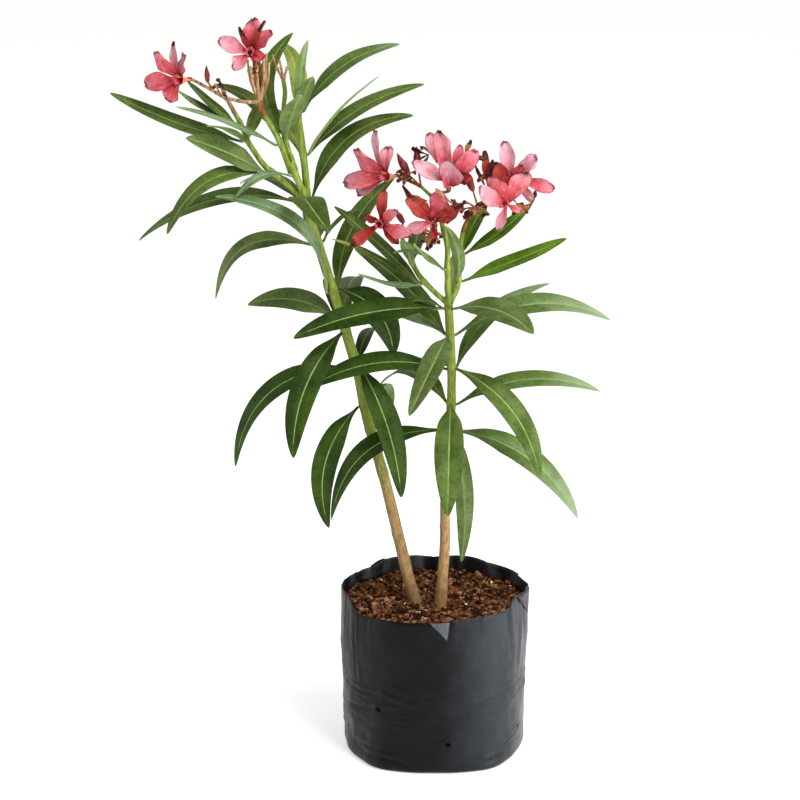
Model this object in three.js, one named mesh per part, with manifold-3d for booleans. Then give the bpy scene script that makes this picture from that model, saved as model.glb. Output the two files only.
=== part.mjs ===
// A young oleander with two stems in a black nursery grow bag.
// Millimetres, +Z up, +X to the right of the usual front view, -Y towards its viewer.
// The origin is the middle of the bag's flat underside.
import * as THREE from "three";
import { mergeVertices } from "three/addons/utils/BufferGeometryUtils.js";
import Module from "manifold-3d";

const wasm = await Module();
wasm.setup();

// Driving dimensions of the bag and its filling
const BAG_RADIUS = 81;
const BAG_FOOT_RADIUS = 78.5;
const BAG_HEIGHT = 144;
const BAG_WALL = 1.3;
const BAG_CORNER = 5;
const BAG_SIDES = 48;
const FOLD_DEPTH = 0.6;
// Corners that the film makes where it is packed and folded: angle in degrees, and radius
const FOOT_CORNERS = [
  [7.5, 80], [37.5, 80], [67.5, 83], [105, 80], [142.5, 84], [172.5, 79], [202.5, 80],
  [232.5, 86], [255, 80.5], [285, 80.5], [307.5, 86.5], [330, 80], [352.5, 78.5],
];
const RIM_CORNERS = [
  [7.5, 82], [30, 82.5], [60, 82], [90, 80], [120, 82], [157.5, 82.5], [180, 82],
  [210, 80], [240, 81], [277.5, 80.5], [307.5, 80.5], [330, 80.5], [352.5, 82.5],
];
// How high the rim stands: angle in degrees, and height
const RIM_LEVELS = [
  [15, 142], [30, 143.5], [52.5, 143], [67.5, 145], [90, 143.5], [105, 145.5], [120, 144.5],
  [135, 141], [157.5, 141], [187.5, 145], [202.5, 143], [210, 134.5], [225, 134.5], [247.5, 136],
  [277.5, 138], [292.5, 139.5], [315, 140], [330, 143.5], [337.5, 146], [352.5, 146.5],
];
const SOIL_LEVEL = 131;
const SOIL_RELIEF = 1.6;
const SEAT_RADIUS = 9;
const SEAT_BLEND = 12;
const BAG_SHARES = [0.3, 0.6, 0.85];
const SOIL_SHARES = [1, 0.8, 0.62, 0.45, 0.3, 0.16];
const CLEARANCE = 0.3;

// Driving dimensions of the wood and of the leaves
const STEM_SIDES = 10;
const SHOOT_SIDES = 8;
const TWIG_SIDES = 6;
const STALK_SIDES = 5;
const FUNNEL_SIDES = 8;
const COLLAR_SIDES = 9;
const STEM_STEP = 14;
const TWIG_STEP = 15;
const BRANCH_STEP = 6;
const COLLAR_WALL = 1.7;
const COLLAR_HEIGHT = 4.4;
const COLLAR_PLAY = 0.08;
const COLLAR_SEAT = 0.7;
const FLARE_LENGTH = 9;
const SWELL_LENGTH = 4;
const LEAF_THICKNESS = 1.5;
const LEAF_FOLD = 0.16;
const TILT_SHARE = 0.3;
const PETIOLE_WIDTH = 2.6;
const PETAL_THICKNESS = 1.2;
const PETAL_FOLD = 0.1;
const THROAT_RADIUS = 3.4;
const TUBE_LENGTH = 17;
const STALK_RADIUS = 1.1;

const UP = new THREE.Vector3(0, 0, 1);

// Finishes
const finish = (color, roughness) =>
  new THREE.MeshStandardMaterial({ color, roughness, metalness: 0 });
const barkTan = () => finish(0xb08a58, 0.7);
const youngStem = () => finish(0x9db552, 0.5);
const leafGreen = () => finish(0x3f6a2c, 0.45);
const petalPink = () => finish(0xdf5f6d, 0.6);
const dryStalk = () => finish(0xb98c5c, 0.8);
const blackFilm = () => finish(0x2a2b2d, 0.4);
const cocoMix = () => finish(0x6b4028, 0.95);

// Small helpers
const vec = (x, y, z) => new THREE.Vector3(x, y, z);
const radians = THREE.MathUtils.degToRad;
const mix = THREE.MathUtils.lerp;

// A solid from its corner points and triangles.
function solidFrom(points, triangles) {
  const position = new Float32Array(points.flatMap((p) => [p.x, p.y, p.z]));
  const geometry = new THREE.BufferGeometry();
  geometry.setAttribute("position", new THREE.BufferAttribute(position, 3));
  geometry.setIndex(triangles);
  const merged = mergeVertices(geometry, 1e-4);
  return new wasm.Manifold(
    new wasm.Mesh({
      numProp: 3,
      vertProperties: merged.attributes.position.array,
      triVerts: new Uint32Array(merged.index.array),
    }),
  );
}

// A skin over rings of equal count, each ring counter-clockwise about the way it goes.
// A closed run joins its last ring to its first; an open run gets a flat end or, at tip, a point.
// A crossed skin folds its faces on their other diagonal, to match a skin that runs the other way.
function loft(rings, { tip = null, closed = false, crossed = false } = {}) {
  const count = rings[0].length;
  const points = rings.flat();
  const triangles = [];
  const spans = closed ? rings.length : rings.length - 1;
  for (let i = 0; i < spans; i += 1) {
    const here = i * count;
    const next = ((i + 1) % rings.length) * count;
    for (let j = 0; j < count; j += 1) {
      const k = (j + 1) % count;
      const [a, b, c, d] = [here + j, here + k, next + k, next + j];
      if (crossed) triangles.push(a, b, d, b, c, d);
      else triangles.push(a, b, c, a, c, d);
    }
  }
  if (!closed) {
    const last = (rings.length - 1) * count;
    for (let j = 1; j < count - 1; j += 1) {
      triangles.push(0, j + 1, j);
      if (!tip) triangles.push(last, last + j, last + j + 1);
    }
    if (tip) {
      points.push(tip);
      for (let j = 0; j < count; j += 1) {
        triangles.push(last + j, last + ((j + 1) % count), points.length - 1);
      }
    }
  }
  return solidFrom(points, triangles);
}

// All solids of a list joined into one.
const joined = (solids) => solids.reduce((whole, next) => whole.add(next));

// A solid as a named mesh.
function part(name, solid, material) {
  const shape = solid.getMesh();
  const geometry = new THREE.BufferGeometry();
  geometry.setAttribute("position", new THREE.BufferAttribute(shape.vertProperties, 3));
  geometry.setIndex([...shape.triVerts]);
  geometry.computeVertexNormals();
  const mesh = new THREE.Mesh(geometry, material);
  mesh.name = name;
  return mesh;
}

// Two directions square to a line, the first lying level.
function squareTo(direction) {
  const level = new THREE.Vector3().crossVectors(direction, UP);
  if (level.lengthSq() < 1e-6) level.set(1, 0, 0);
  level.normalize();
  const other = new THREE.Vector3().crossVectors(level, direction).normalize();
  return [other, level];
}

// A ring of points round a centre, counter-clockwise about the direction.
// The first point lies on the side that lean points to.
function ringRound(centre, direction, radius, sides, lean = null) {
  const a = lean
    ? lean.clone().addScaledVector(direction, -lean.dot(direction)).normalize()
    : squareTo(direction)[0];
  const b = new THREE.Vector3().crossVectors(a, direction);
  return Array.from({ length: sides }, (_, i) => {
    const turn = (i / sides) * 2 * Math.PI;
    return centre
      .clone()
      .addScaledVector(a, radius * Math.cos(turn))
      .addScaledVector(b, -radius * Math.sin(turn));
  });
}

// A limb is a smooth line through a few way points, with a radius at foot and tip.
// flare widens its foot and swell its last few millimetres, where it forks.
class Limb {
  constructor(wayPoints, footRadius, tipRadius, { flare = 0, swell = 0, footWay = null } = {}) {
    this.footWay = footWay;
    this.swell = swell;
    this.curve = new THREE.CatmullRomCurve3(wayPoints, false, "centripetal");
    this.footRadius = footRadius;
    this.tipRadius = tipRadius;
    this.flare = flare;
    this.length = this.curve.getLength();
  }
  at(share) {
    return this.curve.getPointAt(share);
  }
  direction(share) {
    return this.curve.getTangentAt(share).normalize();
  }
  radius(share) {
    const flare = this.flare * Math.exp((-share * this.length) / FLARE_LENGTH);
    const swell = this.swell * Math.max(0, 1 - ((1 - share) * this.length) / SWELL_LENGTH);
    return mix(this.footRadius, this.tipRadius, share) + flare + swell;
  }
  shareAtHeight(height) {
    let low = 0;
    let high = 1;
    for (let i = 0; i < 30; i += 1) {
      const middle = (low + high) / 2;
      if (this.at(middle).z < height) low = middle;
      else high = middle;
    }
    return low;
  }
  // The shares of its length where the solid has a ring.
  stations(step) {
    const run = this.swell ? 1 - SWELL_LENGTH / this.length : 1;
    const spans = Math.max(2, Math.round((this.length * run) / step));
    const shares = Array.from({ length: spans + 1 }, (_, i) => (run * i) / spans);
    return this.swell ? [...shares, 1] : shares;
  }
  solid(sides, step = STEM_STEP, growth = 0) {
    const rings = [];
    let lean = squareTo(this.direction(0))[0];
    for (const share of this.stations(step)) {
      const way = share === 0 && this.footWay ? this.footWay : this.direction(share);
      lean = lean.clone().addScaledVector(way, -lean.dot(way)).normalize();
      rings.push(ringRound(this.at(share), way, this.radius(share) + growth, sides, lean));
    }
    return loft(rings);
  }
}

// A place on the flat tip of a limb, off its middle towards turn, and just clear of it.
function onTip(limb, turn, offset) {
  const way = limb.direction(1);
  const out = vec(Math.sin(radians(turn)), -Math.cos(radians(turn)), 0);
  out.addScaledVector(way, -out.dot(way)).normalize();
  return limb.at(1).addScaledVector(way, CLEARANCE).addScaledVector(out, offset);
}

// A blade is a thin solid along a curve: a keel below, a midrib on top and two edges.
// widthAt gives the half width and sideAt the level direction across, both by the share of length.
function blade({ curve, sideAt, widthAt, thickness, fold, stations }) {
  const rings = stations.map((share) => {
    const centre = curve.getPoint(share);
    const way = curve.getTangent(share).normalize();
    const side = sideAt(share);
    side.addScaledVector(way, -side.dot(way)).normalize();
    const face = new THREE.Vector3().crossVectors(side, way);
    const half = widthAt(share);
    const keel = thickness * (share < 0.1 ? 0.5 : 0.85);
    const lift = half * fold;
    return [
      centre.clone().addScaledVector(face, -keel),
      centre.clone().addScaledVector(side, -half).addScaledVector(face, lift),
      centre.clone().addScaledVector(face, thickness - keel),
      centre.clone().addScaledVector(side, half).addScaledVector(face, lift),
    ];
  });
  return loft(rings, { tip: curve.getPoint(1) });
}

// Leaves
const LEAF_STATIONS = [0, 0.08, 0.24, 0.42, 0.6, 0.77, 0.91];

// The outline of an oleander leaf, widest just before its middle.
const leafOutline = (share) => Math.sin(Math.PI * share ** 0.88) ** 0.72;

// A leaf as real sizes: turn is its heading seen from above, 0 towards the front and 90 to the right;
// reach is how far out its tip is and rise how high, from the middle of the limb;
// bow is how far its middle stands off the straight line, sweep how far it bends sideways;
// tilt turns its face towards the front.
const leaf = (turn, reach, rise, bow, sweep, width, tilt) => ({
  turn,
  reach,
  rise,
  bow,
  sweep,
  width,
  tilt,
});

function leafSolid(centre, direction, inner, size) {
  const turn = radians(size.turn);
  const out = vec(Math.sin(turn), -Math.cos(turn), 0);
  const side = vec(-Math.cos(turn), -Math.sin(turn), 0);
  const radial = out.clone().addScaledVector(direction, -out.dot(direction)).normalize();
  const base = centre.clone().addScaledVector(radial, inner);
  const tip = centre.clone().addScaledVector(out, size.reach).addScaledVector(UP, size.rise);
  const chord = tip.clone().sub(base).normalize();
  const off = new THREE.Vector3().crossVectors(side, chord).normalize();
  const knee = base
    .clone()
    .lerp(tip, 0.5)
    .addScaledVector(off, 2 * size.bow)
    .addScaledVector(side, 2 * size.sweep);
  const curve = new THREE.QuadraticBezierCurve3(base, knee, tip);
  const roll = radians(size.tilt) * (size.turn < 0 ? -1 : 1);
  return blade({
    curve,
    sideAt: (share) => {
      const way = curve.getTangent(share).normalize();
      const across = side.clone().addScaledVector(way, -side.dot(way)).normalize();
      return across.applyAxisAngle(way, roll * Math.min(1, share / TILT_SHARE));
    },
    widthAt: (share) =>
      Math.max(PETIOLE_WIDTH / 2, (size.width / 2) * leafOutline(share)) * (share > 0.9 ? 0.8 : 1),
    thickness: LEAF_THICKNESS,
    fold: LEAF_FOLD,
    stations: LEAF_STATIONS,
  });
}

// A collar is the swollen ring that a whorl of leaves grows from. It goes round its limb.
function collar(centre, direction, inner) {
  const outer = inner + COLLAR_WALL;
  const half = COLLAR_HEIGHT / 2;
  const profile = [
    [inner, -half],
    [outer, -half * 0.6],
    [outer, half * 0.6],
    [inner, half],
  ];
  const [a, b] = squareTo(direction);
  const rings = Array.from({ length: COLLAR_SIDES }, (_, i) => {
    const turn = (i / COLLAR_SIDES) * 2 * Math.PI;
    const radial = a.clone().multiplyScalar(Math.cos(turn)).addScaledVector(b, -Math.sin(turn));
    return profile.map(([radius, height]) =>
      centre.clone().addScaledVector(radial, radius).addScaledVector(direction, height),
    );
  });
  return loft(rings, { closed: true });
}

// A whorl at a height of its limb: the collar with its leaves fused on.
function whorl(name, limb, height, leaves) {
  const share = limb.shareAtHeight(height);
  const centre = limb.at(share);
  const direction = limb.direction(share);
  const inner = (limb.radius(share) + CLEARANCE + COLLAR_PLAY) / Math.cos(Math.PI / COLLAR_SIDES);
  const solids = leaves.map((size) =>
    leafSolid(centre, direction, inner + COLLAR_WALL * COLLAR_SEAT, size),
  );
  const bore = limb.solid(STEM_SIDES, STEM_STEP, CLEARANCE);
  return part(name, joined([collar(centre, direction, inner), ...solids]).subtract(bore), leafGreen());
}

// Flowers

// A twig with round section through a few points, with a flat foot and tip.
function twig(points, footRadius, tipRadius, sides = TWIG_SIDES) {
  return new Limb(points, footRadius, tipRadius).solid(sides, TWIG_STEP);
}

// A twig that grows on from the tip of a limb, through points, and starts just clear of it.
function grownOn(limb, points, footRadius, tipRadius) {
  const way = limb.direction(1);
  const start = [CLEARANCE, 3].map((off) => limb.at(1).addScaledVector(way, off));
  const branch = new Limb([...start, ...points], footRadius, tipRadius, { footWay: way });
  return branch.solid(TWIG_SIDES, BRANCH_STEP);
}

const petal = (around, open, length, width, curl = 4) => ({ around, open, length, width, curl });

// A bloom: a funnel that opens from its stalk, and five petals round its throat.
// The throat faces turn and lift; around goes from the top of the bloom to its right.
function bloom({ throat, turn, lift, petals, stalk }) {
  const yaw = radians(turn);
  const pitch = radians(lift);
  const facing = vec(
    Math.sin(yaw) * Math.cos(pitch),
    -Math.cos(yaw) * Math.cos(pitch),
    Math.sin(pitch),
  );
  const top = UP.clone().addScaledVector(facing, -UP.dot(facing)).normalize();
  const right = new THREE.Vector3().crossVectors(top, facing);
  const foot = throat.clone().addScaledVector(facing, -TUBE_LENGTH);
  const funnel = [
    [0, STALK_RADIUS],
    [0.45, STALK_RADIUS + 0.4],
    [0.8, THROAT_RADIUS],
    [1, THROAT_RADIUS + 0.8],
  ].map(([share, radius]) =>
    ringRound(foot.clone().lerp(throat, share), facing, radius, FUNNEL_SIDES),
  );
  const solids = [loft(funnel)];
  for (const { around, open, length, width, curl } of petals) {
    const spin = radians(around);
    const spread = radians(open);
    const radial = top
      .clone()
      .multiplyScalar(Math.cos(spin))
      .addScaledVector(right, Math.sin(spin));
    const along = facing
      .clone()
      .multiplyScalar(Math.cos(spread))
      .addScaledVector(radial, Math.sin(spread));
    const side = new THREE.Vector3().crossVectors(radial, facing).normalize();
    const front = new THREE.Vector3().crossVectors(side, along).normalize();
    const start = throat
      .clone()
      .addScaledVector(radial, THROAT_RADIUS * 0.75)
      .addScaledVector(facing, -1.2);
    const tip = throat.clone().addScaledVector(along, length);
    const knee = start.clone().lerp(tip, 0.5).addScaledVector(front, curl);
    const curve = new THREE.QuadraticBezierCurve3(start, knee, tip);
    solids.push(
      blade({
        curve,
        sideAt: () => side.clone(),
        widthAt: (share) => (width / 2) * mix(0.34, 1, Math.sin(Math.PI * share ** 1.5) ** 0.8),
        thickness: PETAL_THICKNESS,
        fold: PETAL_FOLD,
        stations: [0, 0.3, 0.55, 0.78, 0.94],
      }),
    );
  }
  const stalkEnd = foot.clone().addScaledVector(facing, 1.5);
  solids.push(twig([...stalk, stalkEnd], STALK_RADIUS, STALK_RADIUS));
  return joined(solids);
}

// A closed bud on its stalk, from foot to pointed tip.
function bud(foot, neck, tip, radius) {
  const way = tip.clone().sub(neck).normalize();
  const body = [
    [0, 0.45],
    [0.35, 1],
    [0.7, 0.6],
  ].map(([share, size]) => ringRound(neck.clone().lerp(tip, share), way, radius * size, STALK_SIDES));
  const stalk = twig([foot, neck.clone().addScaledVector(way, 1)], 0.9, 0.8, STALK_SIDES);
  return joined([loft(body, { tip }), stalk]);
}

// The bag

// The two rows of a table on either side of an angle, and the angles from the first row.
function between(table, angle) {
  const turn = THREE.MathUtils.radToDeg(angle);
  const next = table.findIndex(([at]) => at > turn);
  const after = table[Math.max(next, 0)];
  const before = table[(Math.max(next, 0) + table.length - 1) % table.length];
  const span = (after[0] - before[0] + 360) % 360;
  return { before, after, span, part: (turn - before[0] + 360) % 360 };
}

// How far out the straight side between two corners lies.
function sideRadius(corners, angle) {
  const { before, after, span, part } = between(corners, angle);
  const whole = THREE.MathUtils.degToRad(span);
  const first = THREE.MathUtils.degToRad(part);
  const reach = before[1] * Math.sin(first) + after[1] * Math.sin(whole - first);
  return (before[1] * after[1] * Math.sin(whole)) / reach;
}

// The outside radius of the bag at an angle and a height: corners at the rim and at the foot.
function bagRadius(angle, height) {
  const share = height / BAG_HEIGHT;
  const plain = mix(BAG_FOOT_RADIUS, BAG_RADIUS, share);
  const folds = 0.6 * Math.cos(5 * angle + 0.8) + 0.4 * Math.cos(9 * angle + 2.1);
  const sag = 0.5 * Math.cos(2 * angle + 1.3) * Math.sin(Math.PI * share);
  const foot = (1 - share) ** 4;
  const rim = share ** 5;
  const corners = foot * sideRadius(FOOT_CORNERS, angle) + rim * sideRadius(RIM_CORNERS, angle);
  return corners + (1 - foot - rim) * plain + FOLD_DEPTH * share ** 3 * folds + sag;
}

function rimHeight(angle) {
  const { before, after, span, part } = between(RIM_LEVELS, angle);
  return mix(before[1], after[1], part / span);
}

// A level ring of the bag, inset from its outside.
function bagRing(inset, heightAt) {
  return Array.from({ length: BAG_SIDES }, (_, i) => {
    const angle = (i / BAG_SIDES) * 2 * Math.PI;
    const height = heightAt(angle);
    const radius = bagRadius(angle, Math.min(height, BAG_HEIGHT)) - inset;
    return vec(radius * Math.cos(angle), radius * Math.sin(angle), height);
  });
}

function growBag() {
  const outside = [
    bagRing(BAG_CORNER, () => 0),
    bagRing(BAG_CORNER * 0.3, () => BAG_CORNER * 0.3),
    bagRing(0, () => BAG_CORNER),
    ...BAG_SHARES.map((share) => bagRing(0, () => BAG_HEIGHT * share)),
    bagRing(0, rimHeight),
  ];
  const inside = [
    bagRing(BAG_WALL, rimHeight),
    ...BAG_SHARES.toReversed().map((share) => bagRing(BAG_WALL, () => BAG_HEIGHT * share)),
    bagRing(BAG_WALL, () => BAG_CORNER + BAG_WALL),
    bagRing(BAG_CORNER + BAG_WALL, () => BAG_WALL),
  ];
  return part("grow_bag", loft([...outside, ...inside]), blackFilm());
}

// The filling has low crumbs on top, and lies flat where the stems stand.
function soilHeight(x, y, feet) {
  const bumps =
    Math.sin(x * 0.19 + 1) * Math.cos(y * 0.23) + 0.6 * Math.sin(x * 0.41 - y * 0.37 + 2);
  const nearest = Math.min(...feet.map((foot) => Math.hypot(x - foot.x, y - foot.y)));
  const blend = THREE.MathUtils.smoothstep(nearest, SEAT_RADIUS, SEAT_RADIUS + SEAT_BLEND);
  return SOIL_LEVEL + blend * (SOIL_RELIEF * bumps);
}

function pottingMix(feet) {
  const inset = BAG_WALL + CLEARANCE;
  const sides = [
    bagRing(inset + BAG_CORNER, () => BAG_WALL + CLEARANCE),
    bagRing(inset, () => BAG_CORNER + BAG_WALL + CLEARANCE),
    ...BAG_SHARES.map((share) => bagRing(inset, () => BAG_HEIGHT * share)),
  ];
  const top = SOIL_SHARES.map((share) =>
    bagRing(inset + CLEARANCE, () => SOIL_LEVEL).map((p) => {
      const x = p.x * share;
      const y = p.y * share;
      return vec(x, y, soilHeight(x, y, feet));
    }),
  );
  return part("potting_mix", loft([...sides, ...top], { crossed: true }), cocoMix());
}

// The two stems and the shoots that they fork into
const leftStem = new Limb(
  [
    vec(-16, -8, SOIL_LEVEL + CLEARANCE),
    vec(-22, -7, 152),
    vec(-30, -5, 187),
    vec(-46, -1, 253),
    vec(-57, 0, 293),
    vec(-66, 0, 338),
    vec(-86, 0, 407),
    vec(-103, 0, 463),
    vec(-110, 0, 490),
  ],
  5,
  3.9,
  { flare: 1.2, swell: 2, footWay: UP },
);
const rightStem = new Limb(
  [
    vec(5, -18, SOIL_LEVEL + CLEARANCE),
    vec(9, -16, 187),
    vec(9, -15, 220),
    vec(13, -14, 290),
    vec(14, -14, 342),
    vec(11, -14, 401),
  ],
  4.7,
  3.4,
  { flare: 1.2, swell: 1.8, footWay: UP },
);

// The shoots of the left stem, each with its foot cut to the face that it grows from
const leftForkWay = { footWay: leftStem.direction(1) };
const leftShoot = new Limb(
  [
    onTip(leftStem, -90, 4.2),
    vec(-127, 0, 501),
    vec(-141, 0, 512),
    vec(-150, 0, 524.5),
    vec(-157, 0, 536),
    vec(-160, 1, 545),
    vec(-168, 3, 560),
  ],
  2.9,
  1.7,
  leftForkWay,
);
const middleFoot = new Limb(
  [onTip(leftStem, 10, 4.2), vec(-114.5, -4, 502), vec(-119.5, -3, 513)],
  2.9,
  2.8,
  { ...leftForkWay, swell: 1.4 },
);
const uprightShoot = new Limb(
  [
    onTip(leftStem, 130, 4.2),
    vec(-108.5, 2.5, 509),
    vec(-110.7, 1, 530),
    vec(-113, 1, 551),
    vec(-114, 1, 563),
  ],
  3.1,
  2.6,
  leftForkWay,
);
const middleForkWay = { footWay: middleFoot.direction(1) };
const frontShoot = new Limb(
  [onTip(middleFoot, -60, 2.6), vec(-129, -6, 534), vec(-137, -6, 549), vec(-143, -6, 560)],
  2.3,
  2,
  middleForkWay,
);
const backShoot = new Limb(
  [
    onTip(middleFoot, 120, 2.6),
    vec(-122.6, 4, 527),
    vec(-126, 8, 540),
    vec(-126, 12, 557),
    vec(-125, 12, 570),
  ],
  2.3,
  1.9,
  middleForkWay,
);

// The shoots of the right stem
const rightForkWay = { footWay: rightStem.direction(1) };
const leftTwig = new Limb(
  [
    onTip(rightStem, -90, 3.6),
    vec(-3, -11, 410),
    vec(-12.6, -8, 420),
    vec(-19, -6, 431),
    vec(-27, -4, 450),
  ],
  2.3,
  2,
  rightForkWay,
);
const middleTwig = new Limb(
  [onTip(rightStem, 10, 3.6), vec(10, -19, 428), vec(10, -22, 449), vec(6.5, -23, 464)],
  2.5,
  2.4,
  rightForkWay,
);
const rightTwig = new Limb(
  [
    onTip(rightStem, 120, 3.6),
    vec(19, -7, 411),
    vec(20, -4, 420),
    vec(20, -2, 436),
    vec(23, -2, 456),
  ],
  2.3,
  2,
  rightForkWay,
);

const LIMBS = [
  ["left_stem", leftStem, barkTan, STEM_SIDES],
  ["right_stem", rightStem, barkTan, STEM_SIDES],
  ["left_shoot", leftShoot, youngStem, SHOOT_SIDES],
  ["middle_shoot_foot", middleFoot, youngStem, SHOOT_SIDES],
  ["middle_shoot_front", frontShoot, youngStem, SHOOT_SIDES],
  ["middle_shoot_back", backShoot, youngStem, SHOOT_SIDES],
  ["upright_shoot", uprightShoot, youngStem, SHOOT_SIDES],
  ["left_twig", leftTwig, youngStem, SHOOT_SIDES],
  ["middle_twig", middleTwig, youngStem, SHOOT_SIDES],
  ["right_twig", rightTwig, youngStem, SHOOT_SIDES],
];

// The whorls: name, limb, height of the collar, and its leaves
const whorlOf = (name, limb, height, leaves) => ({ name, limb, height, leaves });
const WHORLS = [
  whorlOf("left_whorl_1", leftStem, 306, [
    leaf(-63, 34, -105, 17, 2, 20, 55),
    leaf(166, 95, -30, 18, 0, 17, 0),
  ]),
  whorlOf("left_whorl_2", leftStem, 341, [
    leaf(35, 67, -100, 6, -4, 24, 0),
    leaf(-94, 104, -92, 28, 0, 22, 35),
    leaf(170, 92, 8, 10, 0, 11, 0),
  ]),
  whorlOf("left_whorl_3", leftStem, 371, [
    leaf(-43, 64, -98, 14, 3, 22, 40),
    leaf(-170, 100, 20, 14, 0, 20, 0),
  ]),
  whorlOf("left_whorl_4", leftStem, 384, [
    leaf(-111, 86, 2, 9, 3, 22, 34),
    leaf(172, 100, 8, 12, 0, 20, 0),
  ]),
  whorlOf("left_whorl_5", leftStem, 406, [
    leaf(-68, 103, 89, 26, -12, 23, 32),
    leaf(84, 51, -55, 13, 0, 25, 55),
    leaf(129, 67, 88, 5, -14, 18, 24),
  ]),
  whorlOf("left_whorl_6", leftStem, 447, [
    leaf(-98, 88, -51, 26, -4, 20, 34),
    leaf(115, 36, 26, 4, 0, 8, 0),
    leaf(-175, 85, 8, 10, 0, 19, 0),
  ]),
  whorlOf("left_whorl_7", leftStem, 483, [
    leaf(-97, 142, -38, 18, 5, 20, 24),
    leaf(14, 91, -7, 13, 9, 27, 0),
    leaf(107, 94, 67, 21, 0, 20, 28),
    leaf(-140, 90, 0, 12, 0, 19, 0),
  ]),
  whorlOf("left_shoot_low_whorl", leftShoot, 508, [
    leaf(-72, 90, -47, 26, -14, 18, 25),
    leaf(-59, 79, 36, 3, 3, 24, 48),
  ]),
  whorlOf("left_shoot_mid_whorl", leftShoot, 535, [
    leaf(-93, 113, 38, -5, 3, 18, 25),
    leaf(-31, 58, 21, 3, 0, 13, 0),
    leaf(159, 50, 30, 4, 0, 12, 0),
  ]),
  whorlOf("left_shoot_top_whorl", leftShoot, 549, [
    leaf(-88, 52, 28, -3, 4, 12, 10),
    leaf(-108, 46, 32, 1, -6, 12, 10),
  ]),
  whorlOf("middle_foot_whorl", middleFoot, 507, [
    leaf(-51, 61, -12, 9, 0, 10, 0),
  ]),
  whorlOf("middle_front_whorl", frontShoot, 533, [
    leaf(-85, 85, 32, 3, 1, 9, 5),
  ]),
  whorlOf("middle_back_whorl", backShoot, 535, [
    leaf(14, 62, 47, 3, 0, 17, 0),
    leaf(-99, 60, 43, 10, 0, 16, 30),
    leaf(165, 26, 84, 4, -16, 15, 0),
  ]),
  whorlOf("upright_low_whorl", uprightShoot, 522, [
    leaf(96, 101, 57, 11, 3, 19, 28),
    leaf(62, 72, 72, 4, 5, 13, 15),
    leaf(-150, 80, 25, 12, 0, 17, 0),
  ]),
  whorlOf("upright_top_whorl", uprightShoot, 558, [
    leaf(93, 84, 56, 13, 6, 18, 28),
    leaf(39, 14, 62, 2, 3, 10, 0),
    leaf(-163, 58, 50, 8, 6, 14, 0),
    leaf(22, 33, 35, 4, -1, 14, 0),
  ]),
  whorlOf("right_whorl_1", rightStem, 288, [
    leaf(-86, 101, -78, 28, -3, 23, 32),
    leaf(79, 110, -72, 14, -10, 24, 32),
    leaf(163, 38, -131, 8, 4, 16, 0),
  ]),
  whorlOf("right_whorl_2", rightStem, 311, [
    leaf(-3, 61, -80, 12, 0, 23, 0),
    leaf(91, 126, 10, 17, 4, 20, 28),
    leaf(-137, 88, -1, 19, 0, 18, 10),
  ]),
  whorlOf("right_whorl_3", rightStem, 342, [
    leaf(64, 82, -85, 20, 5, 23, 25),
    leaf(-89, 124, -19, 15, -4, 22, 28),
    leaf(127, 106, 58, 11, -8, 17, 12),
    leaf(-160, 95, -27, 9, 4, 19, 0),
  ]),
  whorlOf("right_whorl_4", rightStem, 371, [
    leaf(-25, 82, -49, 12, -6, 20, 5),
    leaf(100, 138, 7, 21, 4, 22, 28),
    leaf(-129, 86, 3, 11, -2, 19, 15),
    leaf(-126, 100, 61, 9, -2, 22, 15),
  ]),
  whorlOf("right_whorl_5", rightStem, 394.5, [
    leaf(-78, 132, -19, 8, 3, 24, 33),
    leaf(44, 98, -4, 9, -4, 25, 24),
    leaf(-100, 42, 0, 6, 0, 12, 0),
    leaf(174, 80, 30, 4, 0, 12, 0),
  ]),
  whorlOf("left_twig_whorl", leftTwig, 416, [
    leaf(-69, 59, 12, -4, -2, 9, 0),
    leaf(-89, 77, 37, 3, 3, 11, 10),
    leaf(-99, 76, 62, 2, -2, 17, 20),
  ]),
  whorlOf("left_twig_top_whorl", leftTwig, 432, [
    leaf(-20, 24, 24, 3, 0, 11, 0),
    leaf(170, 60, 18, 8, 0, 13, 0),
  ]),
  whorlOf("middle_twig_whorl", middleTwig, 430, [
    leaf(-70, 48, 17, 6, 0, 10, 10),
    leaf(-36, 48, 30, -2, 0, 9, 0),
  ]),
  whorlOf("right_twig_low_whorl", rightTwig, 416, [
    leaf(87, 90, 37, -1, -1, 17, 28),
    leaf(-17, 42, 56, 4, -4, 11, 0),
  ]),
  whorlOf("right_twig_top_whorl", rightTwig, 438, [
    leaf(103, 64, 42, -2, 5, 13, 30),
    leaf(150, 47, 33, 8, 3, 13, 0),
  ]),
];

// The flower heads, each grown on from its shoot
const JUNCTION = vec(-172, 3, 568);
const KNUCKLE = vec(-145, -6, 568);
const FORK = vec(2, -18, 484);
const RIGHT_FORK = vec(35, -7, 481);

// The head on the left shoot: one late bloom on a dry stalk, a small bud and two stubs.
function leftHead() {
  return joined([
    grownOn(leftShoot, [JUNCTION], 1.7, 1.7),
    bloom({
      throat: vec(-211, -5, 586),
      turn: -34,
      lift: 8,
      petals: [
        petal(-32, 60, 30, 15),
        petal(-8, 82, 31, 6, 8),
        petal(16, 82, 22, 12),
        petal(-104, 72, 30, 15),
        petal(-156, 82, 20, 14),
      ],
      stalk: [JUNCTION, vec(-184, 0, 576)],
    }),
    bud(vec(-184, 0, 576), vec(-188, 0, 583), vec(-189, 0, 597), 2.2),
    twig([vec(-178, 2, 572), vec(-182, 1, 582)], 1, 0.6, STALK_SIDES),
  ]);
}

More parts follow.
